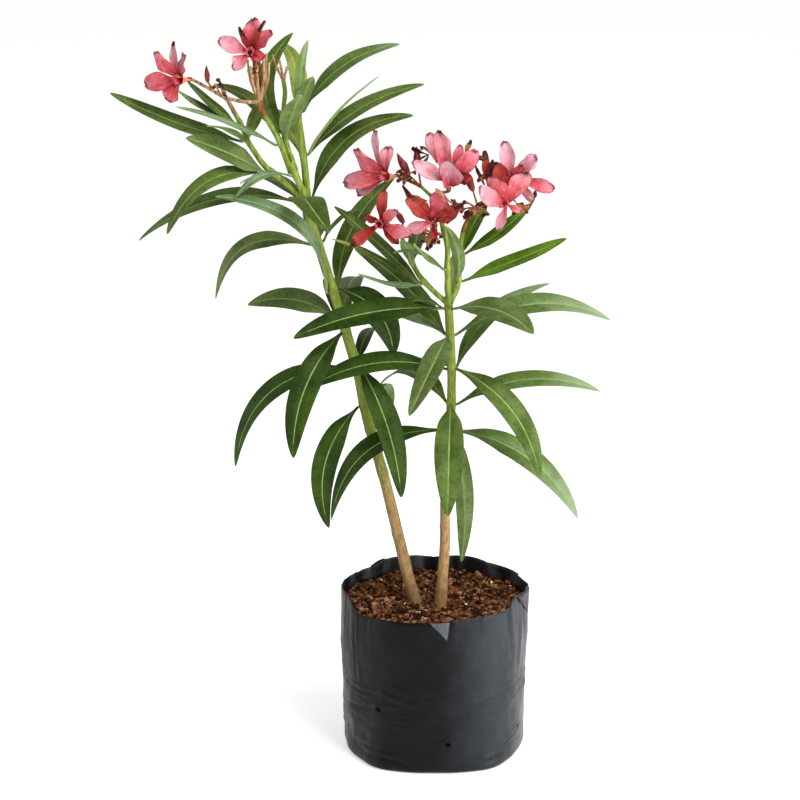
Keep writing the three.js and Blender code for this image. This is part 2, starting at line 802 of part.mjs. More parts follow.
// The head on the front shoot: a knuckle, a bundle of dry stalks, one bloom and a long side stalk.
function bundleHead() {
  const sticks = [
    vec(-155, -3, 602),
    vec(-152, -10, 598),
    vec(-145, 0, 606),
    vec(-141, -9, 605),
    vec(-137, -3, 600),
  ];
  return joined([
    grownOn(frontShoot, [KNUCKLE], 1.9, 2.4),
    twig([KNUCKLE, vec(-156, -8, 569), vec(-165, -9, 571)], 1.5, 1),
    ...sticks.map((tip) => twig([KNUCKLE, tip], 1.5, 1.1, STALK_SIDES)),
    bloom({
      throat: vec(-152, -14, 610),
      turn: -8,
      lift: 24,
      petals: [
        petal(6, 59, 29, 15),
        petal(-21, 53, 24, 5, 7),
        petal(-78, 64, 28, 13),
        petal(-138, 74, 20, 12),
        petal(51, 73, 25, 13),
        petal(33, 59, 31, 4, 7),
      ],
      stalk: [KNUCKLE, vec(-147, -2, 588)],
    }),
  ]);
}

// The spent head on the back shoot: a green stalk with dry stubs.
function spentHead() {
  const fork = vec(-126, 12, 583);
  return joined([
    grownOn(backShoot, [fork], 1.8, 1.8),
    twig([fork, vec(-131, 12, 592), vec(-135, 12, 604)], 1.2, 0.9, STALK_SIDES),
    twig([fork, vec(-123, 13, 592), vec(-118, 12, 602)], 1.2, 0.8, STALK_SIDES),
    twig([fork, vec(-129, 9, 600)], 1, 0.8, STALK_SIDES),
  ]);
}

// The head on the left twig: one low bloom with narrow, curled petals.
function lowHead() {
  const stalkEnd = vec(-33, -10, 457);
  const face = bloom({
    throat: vec(-46, -33, 471),
    turn: -18,
    lift: 10,
    petals: [
      petal(12, 66, 33, 9),
      petal(-129, 85, 30, 10),
      petal(105, 68, 36, 12, 5),
      petal(-51, 56, 16, 8),
      petal(54, 56, 27, 9, 5),
    ],
    stalk: [stalkEnd],
  });
  return joined([grownOn(leftTwig, [stalkEnd], 1.7, 1.2), face]);
}

// The main head on the middle twig: three blooms and four closed buds.
function mainHead() {
  const budFoot = vec(-12, -17, 499);
  return joined([
    grownOn(middleTwig, [FORK, budFoot], 2.2, 1.3),
    bloom({
      throat: vec(-41, -20, 508),
      turn: -40,
      lift: 8,
      petals: [
        petal(-44, 60, 33, 18, 5),
        petal(-8, 74, 40, 8, 9),
        petal(2, 86, 25, 10),
        petal(-108, 68, 37, 16),
        petal(-128, 78, 30, 12),
      ],
      stalk: [budFoot],
    }),
    bloom({
      throat: vec(12, -26, 506),
      turn: 6,
      lift: 44,
      petals: [
        petal(-9, 63, 40, 16),
        petal(-27, 68, 40, 6, 7),
        petal(-60, 86, 35, 14),
        petal(36, 32, 23, 16),
        petal(51, 79, 32, 16),
        petal(27, 65, 34, 9, 6),
        petal(-174, 99, 17, 14),
      ],
      stalk: [FORK, vec(5, -13, 492)],
    }),
    bloom({
      throat: vec(-4, -40, 477),
      turn: -4,
      lift: 14,
      petals: [
        petal(-42, 65, 38, 10, 9),
        petal(-38, 59, 25, 15),
        petal(15, 69, 27, 14),
        petal(63, 74, 30, 15, 7),
        petal(-117, 82, 24, 10),
        petal(162, 65, 18, 10),
      ],
      stalk: [FORK, vec(1, -24, 478)],
    }),
    bud(budFoot, vec(-22, -16, 508), vec(-32, -12, 526), 2.8),
    bud(budFoot, vec(-14.5, -12, 513), vec(-16, -8, 531), 2.8),
    bud(budFoot, vec(-23, -14, 503), vec(-30, -10, 511), 3),
    bud(FORK, vec(21, -16, 496), vec(22, -18, 517), 2.8),
  ]);
}

// The head on the right twig: two blooms and two closed buds.
function rightHead() {
  const budFoot = vec(42, -8, 485);
  return joined([
    grownOn(rightTwig, [vec(28, -4, 470), RIGHT_FORK, budFoot], 1.8, 1.3),
    bloom({
      throat: vec(55, -36, 492),
      turn: 2,
      lift: 18,
      petals: [
        petal(-75, 65, 24, 15),
        petal(-21, 59, 23, 15),
        petal(54, 66, 25, 14),
        petal(-174, 86, 26, 9),
        petal(-114, 76, 18, 10),
        petal(111, 79, 15, 9),
      ],
      stalk: [budFoot],
    }),
    bloom({
      throat: vec(65, -22, 510),
      turn: 34,
      lift: 26,
      petals: [
        petal(-18, 80, 30, 14),
        petal(63, 62, 23, 15),
        petal(129, 61, 34, 14),
        petal(174, 79, 23, 10),
        petal(-69, 80, 20, 10),
      ],
      stalk: [budFoot, vec(54, -4, 496)],
    }),
    bud(budFoot, vec(45, -8, 503), vec(39, -6, 526), 2.8),
    bud(RIGHT_FORK, vec(31, -14, 495), vec(22, -15, 512), 2.8),
  ]);
}

const HEADS = [
  ["left_flower_head", leftHead, petalPink],
  ["bundle_flower_head", bundleHead, dryStalk],
  ["spent_flower_head", spentHead, dryStalk],
  ["low_flower_head", lowHead, petalPink],
  ["main_flower_head", mainHead, petalPink],
  ["right_flower_head", rightHead, petalPink],
];

const plant = new THREE.Group();
const feet = [leftStem.at(0), rightStem.at(0)];
plant.add(growBag(), pottingMix(feet));
for (const [name, limb, material, sides] of LIMBS) {
  plant.add(part(name, limb.solid(sides), material()));
}
for (const { name, limb, height, leaves } of WHORLS) {
  plant.add(whorl(name, limb, height, leaves));
}
for (const [name, build, material] of HEADS) {
  plant.add(part(name, build(), material()));
}

export default plant;
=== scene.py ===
# %% [markdown]
# # A young oleander in a nursery grow bag
# The frame holds a plain solid for each stem, whorl and flower head, and it fixes every size.
# This lesson grows the finished plant over those solids: bark on the stems, bent leaves with
# veins, ruffled petals, crumbs in the bag and folds in its film. Shapes are written in
# millimetres and become metres in the last step of each piece.

import math
import random

import bmesh
import bpy
import numpy as np
from mathutils import Euler, Matrix, Quaternion, Vector, noise


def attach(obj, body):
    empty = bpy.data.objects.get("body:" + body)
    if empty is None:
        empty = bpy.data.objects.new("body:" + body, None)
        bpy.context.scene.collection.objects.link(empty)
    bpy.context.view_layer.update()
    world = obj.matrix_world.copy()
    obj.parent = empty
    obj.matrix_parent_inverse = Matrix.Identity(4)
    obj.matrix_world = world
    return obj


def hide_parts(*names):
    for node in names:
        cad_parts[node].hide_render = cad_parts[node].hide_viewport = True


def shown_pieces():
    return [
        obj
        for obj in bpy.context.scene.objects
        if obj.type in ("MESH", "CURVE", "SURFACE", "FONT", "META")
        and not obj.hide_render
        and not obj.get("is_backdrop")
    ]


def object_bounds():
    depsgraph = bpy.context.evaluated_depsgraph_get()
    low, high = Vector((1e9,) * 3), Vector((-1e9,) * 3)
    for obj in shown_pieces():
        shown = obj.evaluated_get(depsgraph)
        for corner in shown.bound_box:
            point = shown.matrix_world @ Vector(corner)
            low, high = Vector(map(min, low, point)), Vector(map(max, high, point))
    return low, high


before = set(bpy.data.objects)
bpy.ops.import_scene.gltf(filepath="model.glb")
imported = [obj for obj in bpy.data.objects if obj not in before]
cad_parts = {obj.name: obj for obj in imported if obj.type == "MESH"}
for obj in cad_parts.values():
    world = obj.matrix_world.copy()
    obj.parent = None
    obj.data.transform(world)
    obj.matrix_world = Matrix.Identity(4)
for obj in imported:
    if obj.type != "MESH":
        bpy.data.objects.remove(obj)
cad_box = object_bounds()
print("frame box", [round(v, 4) for corner in cad_box for v in corner])

# %% [markdown]
# ## Where the eye stands
# The plant is seen from the front, from a little above, so that the rim of the bag shows its
# far side and its filling. A long lens keeps the tall plant from leaning outwards.

# %% Place the camera
CAMERA_PLACE = (-0.0294, -2.5, 1.030)
CAMERA_TILT = 73.94
LENS = 137.8


def put(name, data):
    """A new object for some data, linked into the scene."""
    item = bpy.data.objects.new(name, data)
    bpy.context.scene.collection.objects.link(item)
    return item


camera = put("front_camera", bpy.data.cameras.new("front_camera"))
camera.data.lens = LENS
camera.data.sensor_width = 36
camera.data.clip_end = 50
camera.location = CAMERA_PLACE
camera.rotation_euler = (math.radians(CAMERA_TILT), 0, 0)
bpy.context.scene.camera = camera
print("camera looks down by", round(90 - CAMERA_TILT, 2), "degrees")

# %% [markdown]
# ## A pale studio
# A bright, even world stands in for white walls. A broad lamp above and to the right gives the
# leaves their soft sheen, a tall one to the right draws the slate light on the black film,
# and a narrow weak one on the left marks the edge of the bag.
# The colours of the film and of some leaves also carry painted light: the slate reflection and pale
# edges of the film, and a sheen on leaves that catch the light.

# %% Light the studio
WHITE = (1.0, 1.0, 1.0, 1)
WORLD_STRENGTH = 0.62

world = bpy.data.worlds.new("white_room")
world.use_nodes = True
background = world.node_tree.nodes["Background"].inputs
background["Color"].default_value = WHITE
background["Strength"].default_value = WORLD_STRENGTH
bpy.context.scene.world = world
bpy.context.scene.view_settings.view_transform = "Standard"


def soft_lamp(name, place, aim, size, power):
    """A rectangular area lamp that looks at a point. Places and sizes are in metres."""
    lamp = put(name, bpy.data.lights.new(name, "AREA"))
    lamp.data.shape = "RECTANGLE"
    lamp.data.size, lamp.data.size_y = size
    lamp.data.energy = power
    lamp.location = place
    lamp.rotation_euler = (Vector(aim) - Vector(place)).to_track_quat("-Z", "Y").to_euler()


soft_lamp("overhead_lamp", (0.9, -1.1, 1.9), (0, 0, 0.35), (1.1, 1.1), 38)
soft_lamp("right_lamp", (1.5, -0.7, 0.45), (0, 0, 0.2), (0.9, 1.3), 20)
soft_lamp("left_lamp", (-1.6, -0.3, 0.6), (0, 0, 0.25), (0.5, 1.3), 6)

# %% [markdown]
# ## Grids that become skins
# Leaves, petals, stems and the bag are all skins over rings. One helper makes a grid with the
# right number of faces, puts each of its points where a ring says, and merges the seam. Rings
# that shrink to a point close the ends, so every shape is a watertight shell.

# %% Helpers for rings
MM = 0.001
UP = Vector((0, 0, 1))


def turns(count):
    """Angles at even steps, once round."""
    return [i / count * 2 * math.pi for i in range(count)]


def spoke(lean, across, angle):
    """The direction at an angle from lean, in the plane of lean and across."""
    return lean * math.cos(angle) - across * math.sin(angle)


def close_ends(rings, marks=None, foot=None, tip=None):
    """Shrinks a new ring to a point at each end, by default to the middle of the end ring.
    The marks of the end rings are held there."""
    count = len(rings[0])
    foot = sum(rings[0], Vector()) / count if foot is None else foot
    tip = sum(rings[-1], Vector()) / count if tip is None else tip
    for rows in (marks or {}).values():
        rows[:] = [rows[0], *rows, rows[-1]]
    return [[foot] * count, *rings, [tip] * count]


print("steps of a square ring:", [round(math.degrees(angle)) for angle in turns(4)])

# %% Helpers for skins


def marked_bmesh(names=()):
    """A new bmesh whose points can carry the named numbers."""
    bm = bmesh.new()
    for name in names:
        bm.verts.layers.float.new(name)
    return bm


def mesh_from(bm, name):
    mesh = bpy.data.meshes.new(name)
    bm.to_mesh(mesh)
    bm.free()
    return mesh


def skin(bm, rings, marks=None, slot=0):
    """Adds a closed skin over rings of equal count. marks are named numbers for each ring
    point. slot is the faces' material slot, or a rule that gives it from row and column."""
    rows, columns = len(rings) - 1, len(rings[0])
    patch = marked_bmesh(marks or ())
    bmesh.ops.create_grid(patch, x_segments=columns, y_segments=rows, size=1)
    patch.verts.index_update()
    layers = {name: patch.verts.layers.float[name] for name in marks or ()}
    for vert in patch.verts:
        row, column = divmod(vert.index, columns + 1)
        column %= columns
        vert.co = rings[row][column]
        for name, layer in layers.items():
            vert[layer] = marks[name][row][column]
    for face in patch.faces:
        face.smooth = True
        row, column = divmod(min(loop.vert.index for loop in face.loops), columns + 1)
        face.material_index = slot(row, column) if callable(slot) else slot
    bmesh.ops.remove_doubles(patch, verts=patch.verts[:], dist=1e-5)
    bmesh.ops.recalc_face_normals(patch, faces=patch.faces[:])
    carrier = mesh_from(patch, "patch")
    bm.from_mesh(carrier)
    bpy.data.meshes.remove(carrier)


def ride_mesh(mesh, name, materials, nodes=()):
    """A piece for a mesh in metres. It rides on the root and stands in for some nodes."""
    for material in materials:
        mesh.materials.append(material)
    piece = put(name, mesh)
    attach(piece, "root")
    if nodes:
        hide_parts(*nodes)
    return piece


def finish_piece(bm, name, materials, nodes=()):
    """A piece for a bmesh in millimetres."""
    bmesh.ops.dissolve_degenerate(bm, dist=1e-6, edges=bm.edges[:])
    bmesh.ops.scale(bm, vec=(MM, MM, MM), verts=bm.verts[:])
    return ride_mesh(mesh_from(bm, name), name, materials, nodes)


print("one millimetre is", MM, "of the frame's units")

# %% [markdown]
# ## Finishes
# Each finish is a small node graph on Object coordinates: a noise picks between a dark and a
# light colour, and the same noise lifts the surface a little. Helpers keep the graphs short.

# %% Helpers for finishes


class Finish:
    """A Principled material with a few helpers to add nodes and links."""

    def __init__(self, name, roughness, **constants):
        self.material = bpy.data.materials.new(name)
        self.material.use_nodes = True
        self.tree = self.material.node_tree
        self.sockets = self.tree.nodes["Principled BSDF"].inputs
        self.sockets["Roughness"].default_value = roughness
        for socket, value in constants.items():
            self.sockets[socket.replace("_", " ")].default_value = value
        self.place = self.add("TexCoord").outputs["Object"]

    def add(self, kind, inputs=None, **settings):
        node = self.tree.nodes.new("ShaderNode" + kind)
        for name, value in settings.items():
            setattr(node, name, value)
        for key, value in (inputs or {}).items():
            self.feed(node.inputs[key], value)
        return node

    def feed(self, socket, value):
        if isinstance(value, bpy.types.NodeSocket):
            self.tree.links.new(value, socket)
        else:
            socket.default_value = value

    def noise(self, scale, detail=4.0, stretch=(1, 1, 1), roughness=0.55, place=None):
        """Noise from 0 to 1. scale is in features per metre."""
        where = self.add("Mapping", {"Vector": place or self.place, "Scale": stretch}).outputs[0]
        inputs = {"Vector": where, "Scale": scale, "Detail": detail, "Roughness": roughness}
        return self.add("TexNoise", inputs).outputs["Fac"]

    def span(self, value, low, high, to_low=0.0, to_high=1.0):
        """value from low..high, carried to to_low..to_high and held there."""
        inputs = {0: value, 1: low, 2: high, 3: to_low, 4: to_high}
        return self.add("MapRange", inputs, interpolation_type="SMOOTHSTEP").outputs[0]

    def work(self, operation, a, b=0.5):
        return self.add("Math", {0: a, 1: b}, operation=operation).outputs[0]

    def plus(self, a, b):
        return self.work("ADD", a, b)

    def times(self, a, b):
        return self.work("MULTIPLY", a, b)

    def blend(self, share, a, b):
        """Colour a where share is 0, b where it is 1."""
        node = self.add("Mix", {0: share, 6: a, 7: b}, data_type="RGBA")
        return node.outputs[2]

    def mark(self, name):
        """A number that the points of the piece carry."""
        return self.add("Attribute", attribute_name=name).outputs["Fac"]

    def grain(self):
        """A place on a limb that runs with its length, so that lines follow a lean."""
        marks = {i: self.mark("grain_" + axis) for i, axis in enumerate("xyz")}
        return self.add("CombineXYZ", marks).outputs[0]

    def axis(self, name):
        """The place along one axis, in metres."""
        return self.add("SeparateXYZ", {0: self.place}).outputs[name]

    def colour(self, value):
        self.feed(self.sockets["Base Color"], value)

    def rough(self, value):
        self.feed(self.sockets["Roughness"], value)

    def bump(self, height, strength, distance):
        node = self.add("Bump", {"Height": height, "Strength": strength, "Distance": distance})
        self.feed(self.sockets["Normal"], node.outputs[0])


def shade(red, green, blue):
    """An sRGB colour from 0 to 255 as linear numbers."""
    linear = [
        part / 12.92 if part <= 0.04045 else ((part + 0.055) / 1.055) ** 2.4
        for part in (red / 255, green / 255, blue / 255)
    ]
    return (*linear, 1.0)


print("middle grey is", round(shade(128, 128, 128)[0], 3), "as a linear number")

# %% [markdown]
# ## Wood and green shoots
# Old wood is tan with darker upright lines and small corky spots. Higher up the same stem is
# young and still green, so the colour turns by height, with noise to make the edge uneven.

# %% Finishes of the stems
ALL_TAN, ALL_GREEN = 0.235, 0.325  # heights in metres between which the bark turns green


def bark_finish():
    f = Finish("woody_stem", 0.6, Specular_IOR_Level=0.25)
    grain = f.grain()
    lines = f.noise(1.5, 4, stretch=(1, 1, 0.25), place=grain)
    patches = f.noise(0.16, 3, stretch=(1, 1, 2), place=grain)
    tan = f.blend(f.span(lines, 0.3, 0.72), shade(132, 98, 56), shade(184, 150, 104))
    tan = f.blend(f.span(patches, 0.46, 0.7, 0, 0.5), tan, shade(108, 76, 42))
    green = f.blend(f.span(lines, 0.3, 0.7), shade(84, 104, 20), shade(140, 158, 62))
    green = f.blend(f.span(patches, 0.5, 0.7, 0, 0.5), green, shade(112, 106, 44))
    height = f.axis("Z")
    uneven = f.plus(height, f.times(patches, 0.07))
    body = f.blend(f.span(uneven, ALL_TAN, ALL_GREEN), tan, green)
    # painted shade: the left side of the stem, away from the lamps, is darker
    painted_shade_side = f.times(f.span(f.mark("grain_y"), 0.2, 5.0), 0.6)
    body = f.blend(painted_shade_side, body, shade(88, 72, 28))
    body = f.blend(f.span(height, 0.128, 0.17, 0.6, 0.0), body, shade(88, 58, 28))
    f.colour(f.blend(f.times(f.mark("scar"), 0.4), body, shade(112, 78, 44)))
    f.bump(f.plus(lines, f.times(f.noise(900), 0.4)), 0.35, 0.0004)
    return f.material


def plain_finish(name, dark, light, roughness):
    """Two sRGB colours in faint upright lines."""
    f = Finish(name, roughness, Specular_IOR_Level=0.2)
    lines = f.noise(380, 4, stretch=(1, 1, 0.15))
    f.colour(f.blend(f.span(lines, 0.3, 0.7), shade(*dark), shade(*light)))
    f.bump(f.plus(lines, f.noise(700)), 0.4, 0.0003)
    return f.material


BARK = bark_finish()
SHOOT = plain_finish("green_shoot", (84, 106, 22), (146, 166, 70), 0.4)
print("stem finishes:", BARK.name, SHOOT.name)

# %% [markdown]
# ## Leaves
# A leaf is leathery: a dark upper face with a soft gloss, a pale groove along its middle and
# fine straight veins that run out to the edge, and a paler, duller lower face. Each ring point
# of a leaf carries its distance from the midrib and from the base in millimetres, so veins
# can follow the blade. Old, shaded and young leaves get finishes of their own.
# Leaves that catch the light get a painted sheen: the grey and sheen tones, and in part the pale
# one.

# %% Finishes of the leaves
VEIN_PITCH = 3.3  # how fast the wave of the veins turns, in radians per millimetre


def leaf_finish(name, dark, light, roughness, gloss, far=None, vein_strength=0.7):
    """dark, light and far are sRGB colours. far is a painted sheen: the grey-green of the outer
    part of a leaf where it catches the light.
    """
    f = Finish(name, roughness, Specular_IOR_Level=gloss)
    dark, light = shade(*dark), shade(*light)
    across = f.work("ABSOLUTE", f.mark("across"))
    along = f.mark("along")
    slant = f.work("SUBTRACT", along, f.times(across, 0.45))
    wobble = f.times(f.noise(120, 3), 9.0)
    wave = f.work("SINE", f.times(f.plus(slant, wobble), VEIN_PITCH))
    vein = f.times(f.span(wave, 0.2, 1.0), f.span(f.noise(260, 3), 0.35, 0.65))
    cloud = f.noise(38, 3)
    speck = f.noise(420, 3)
    body = f.blend(f.span(cloud, 0.32, 0.68), dark, light)
    lift = tuple(min(1.0, c * 1.45 + 0.008) for c in light[:3]) + (1.0,)
    gloom = tuple(c * 0.55 for c in dark[:3]) + (1.0,)
    body = f.blend(f.span(f.noise(300, 4), 0.48, 0.7, 0, 0.5), body, gloom)
    body = f.blend(f.times(vein, 0.5 * vein_strength), body, lift)
    body = f.blend(f.span(f.noise(650, 2), 0.55, 0.75, 0, 0.4), body, lift)
    body = f.blend(f.span(across, 0.4, 1.5, 0.4, 0.0), body, lift)
    if far:
        # painted sheen: the outer part of the blade turns grey-green where it catches the light
        painted_sheen = f.plus(f.span(along, 55, 128, 0, 0.8), f.span(cloud, 0.4, 0.7, -0.1, 0.1))
        body = f.blend(painted_sheen, body, shade(*far))
    f.colour(body)
    f.rough(f.span(speck, 0.3, 0.7, roughness - 0.05, roughness + 0.09))
    f.bump(f.plus(f.times(vein, 0.6), f.times(speck, 0.5)), 0.35, 0.0003)
    return f.material


# dark, light, roughness and gloss of each tone, and for sheen also the far colour and the strength
# of its veins. The grey and sheen tones, and in part the pale one, are painted sheen on leaves that
# catch the light.
LEAF_COLOURS = {
    "deep": ((26, 46, 8), (52, 74, 20), 0.42, 0.09),
    "mid": ((50, 69, 17), (86, 106, 46), 0.44, 0.12),
    "bright": ((50, 82, 6), (92, 126, 28), 0.44, 0.1),
    "sheen": ((62, 84, 24), (90, 114, 50), 0.4, 0.26, (136, 156, 118), 1.2),
    "grey": ((74, 98, 60), (112, 134, 94), 0.42, 0.3),
    "olive": ((64, 81, 32), (99, 116, 66), 0.48, 0.14),
    "pale": ((130, 148, 98), (178, 194, 144), 0.5, 0.2),
    "young": ((94, 113, 36), (134, 150, 74), 0.45, 0.14),
}
LEAF_TONES = {tone: leaf_finish("leaf_" + tone, *look) for tone, look in LEAF_COLOURS.items()}
UNDERSIDE = leaf_finish("leaf_underside", (88, 110, 54), (126, 146, 90), 0.58, 0.16)
RIB = plain_finish("leaf_rib", (112, 134, 60), (152, 170, 98), 0.5)
print("leaf finishes:", len(LEAF_TONES) + 2)

# %% [markdown]
# ## Lines that bend
# A limb is a smooth curve through a few way points. The same rule shapes the solids of the
# frame, so the bark lies on them. The curve is sampled closely once, and every place on it is
# then found by its share of the length.

# %% Limbs
FLARE_LENGTH, SWELL_LENGTH = 9, 4
SPAN_STEPS = 24


def smooth_line(points):
    """Close samples of a centripetal curve through the points."""
    ends = [2 * points[0] - points[1], *points, 2 * points[-1] - points[-2]]
    line = []
    for before, start, stop, after in zip(ends, ends[1:], ends[2:], ends[3:]):
        pairs = ((before, start), (start, stop), (stop, after))
        first, middle, last = (math.sqrt((b - a).length) for a, b in pairs)
        leave = (start - before) / first - (stop - before) / (first + middle)
        leave = (leave + (stop - start) / middle) * middle
        arrive = (stop - start) / middle - (after - start) / (middle + last)
        arrive = (arrive + (after - stop) / last) * middle
        for step in range(SPAN_STEPS):
            t = step / SPAN_STEPS
            line.append(
                start * (2 * t**3 - 3 * t**2 + 1)
                + leave * (t**3 - 2 * t**2 + t)
                + stop * (3 * t**2 - 2 * t**3)
                + arrive * (t**3 - t**2)
            )
    return [*line, points[-1].copy()]


class Limb:
    """A tapering line with a flared foot and, where it forks, a swollen tip."""

    def __init__(self, way_points, foot_radius, tip_radius, flare=0.0, swell=0.0):
        self.line = smooth_line([Vector(p) for p in way_points])
        steps = [(b - a).length for a, b in zip(self.line, self.line[1:])]
        self.sums = np.concatenate([[0.0], np.cumsum(steps)])
        self.length = float(self.sums[-1])
        self.foot_radius, self.tip_radius = foot_radius, tip_radius
        self.flare, self.swell = flare, swell

    def at(self, share):
        run = min(max(share, 0.0), 1.0) * self.length
        i = min(int(np.searchsorted(self.sums, run, side="right")) - 1, len(self.line) - 2)
        part = (run - self.sums[i]) / (self.sums[i + 1] - self.sums[i])
        return self.line[i].lerp(self.line[i + 1], part)

    def direction(self, share):
        step = 0.5 / self.length
        return (self.at(share + step) - self.at(share - step)).normalized()

    def radius(self, share):
        flare = self.flare * math.exp(-share * self.length / FLARE_LENGTH)
        swell = self.swell * max(0.0, 1 - (1 - share) * self.length / SWELL_LENGTH)
        return self.foot_radius + (self.tip_radius - self.foot_radius) * share + flare + swell

    def share_at_height(self, height):
        low, high = 0.0, 1.0
        for _ in range(30):
            middle = (low + high) / 2
            if self.at(middle).z < height:
                low = middle
            else:
                high = middle
        return low


def heading(turn):
    """A level direction: 0 goes to the front and 90 to the right."""
    return Vector((math.sin(math.radians(turn)), -math.cos(math.radians(turn)), 0))


def squared(vector, direction):
    """The part of a vector that is square to a direction, with length 1."""
    return (vector - direction * vector.dot(direction)).normalized()


def on_tip(limb, turn, offset):
    """A place on the end of a limb, for the foot of a shoot."""
    way = limb.direction(1)
    return limb.at(1) + way * 0.3 + squared(heading(turn), way) * offset


print("a bow over 40 mm:", round(Limb([(0, 0, 0), (3, 0, 20), (0, 0, 40)], 2, 1).length, 1), "mm")

# %% [markdown]
# ## The two stems and their shoots
# Two stems rise from one root. The left one leans out and splits into three shoots, the right
# one stands straight and carries three twigs. Each shoot starts inside the wood that bears it,
# so the fork closes with no gap.

# %% Way points of the limbs
left_stem = Limb(
    [(-16, -8, 131.3), (-22, -7, 152), (-30, -5, 187), (-46, -1, 253), (-57, 0, 293),
     (-66, 0, 338), (-86, 0, 407), (-103, 0, 463), (-110, 0, 490)],
    5, 3.9, flare=1.2, swell=2)
right_stem = Limb(
    [(5, -18, 131.3), (9, -16, 187), (9, -15, 220), (13, -14, 290), (14, -14, 342),
     (11, -14, 401)],
    4.7, 3.4, flare=1.2, swell=1.8)
left_shoot = Limb(
    [on_tip(left_stem, -90, 4.2), (-127, 0, 501), (-141, 0, 512), (-150, 0, 524.5),
     (-157, 0, 536), (-160, 1, 545), (-168, 3, 560)],
    2.9, 1.7)
middle_foot = Limb(
    [on_tip(left_stem, 10, 4.2), (-114.5, -4, 502), (-119.5, -3, 513)],
    2.9, 2.8, swell=1.4)
upright_shoot = Limb(
    [on_tip(left_stem, 130, 4.2), (-108.5, 2.5, 509), (-110.7, 1, 530), (-113, 1, 551),
     (-114, 1, 563)],
    3.1, 2.6)
front_shoot = Limb(
    [on_tip(middle_foot, -60, 2.6), (-129, -6, 534), (-137, -6, 549), (-143, -6, 560)],
    2.3, 2)
back_shoot = Limb(
    [on_tip(middle_foot, 120, 2.6), (-122.6, 4, 527), (-126, 8, 540), (-126, 12, 557),
     (-125, 12, 570)],
    2.3, 1.9)
left_twig = Limb(
    [on_tip(right_stem, -90, 3.6), (-3, -11, 410), (-12.6, -8, 420), (-19, -6, 431),
     (-27, -4, 450)],
    2.3, 2)
middle_twig = Limb(
    [on_tip(right_stem, 10, 3.6), (10, -19, 428), (10, -22, 449), (6.5, -23, 464)],
    2.5, 2.4)
right_twig = Limb(
    [on_tip(right_stem, 120, 3.6), (19, -7, 411), (20, -4, 420), (20, -2, 436), (23, -2, 456)],
    2.3, 2)
print("left stem", round(left_stem.length), "mm, right stem", round(right_stem.length), "mm")

# %% [markdown]
# ## Whorls of leaves
# An oleander sets its leaves in threes round a node. Each leaf is written as what a gardener
# could measure: where it heads, how far out and up its tip is, how much it bows and sweeps,
# its width, how much its face is turned to the front, and its tone.

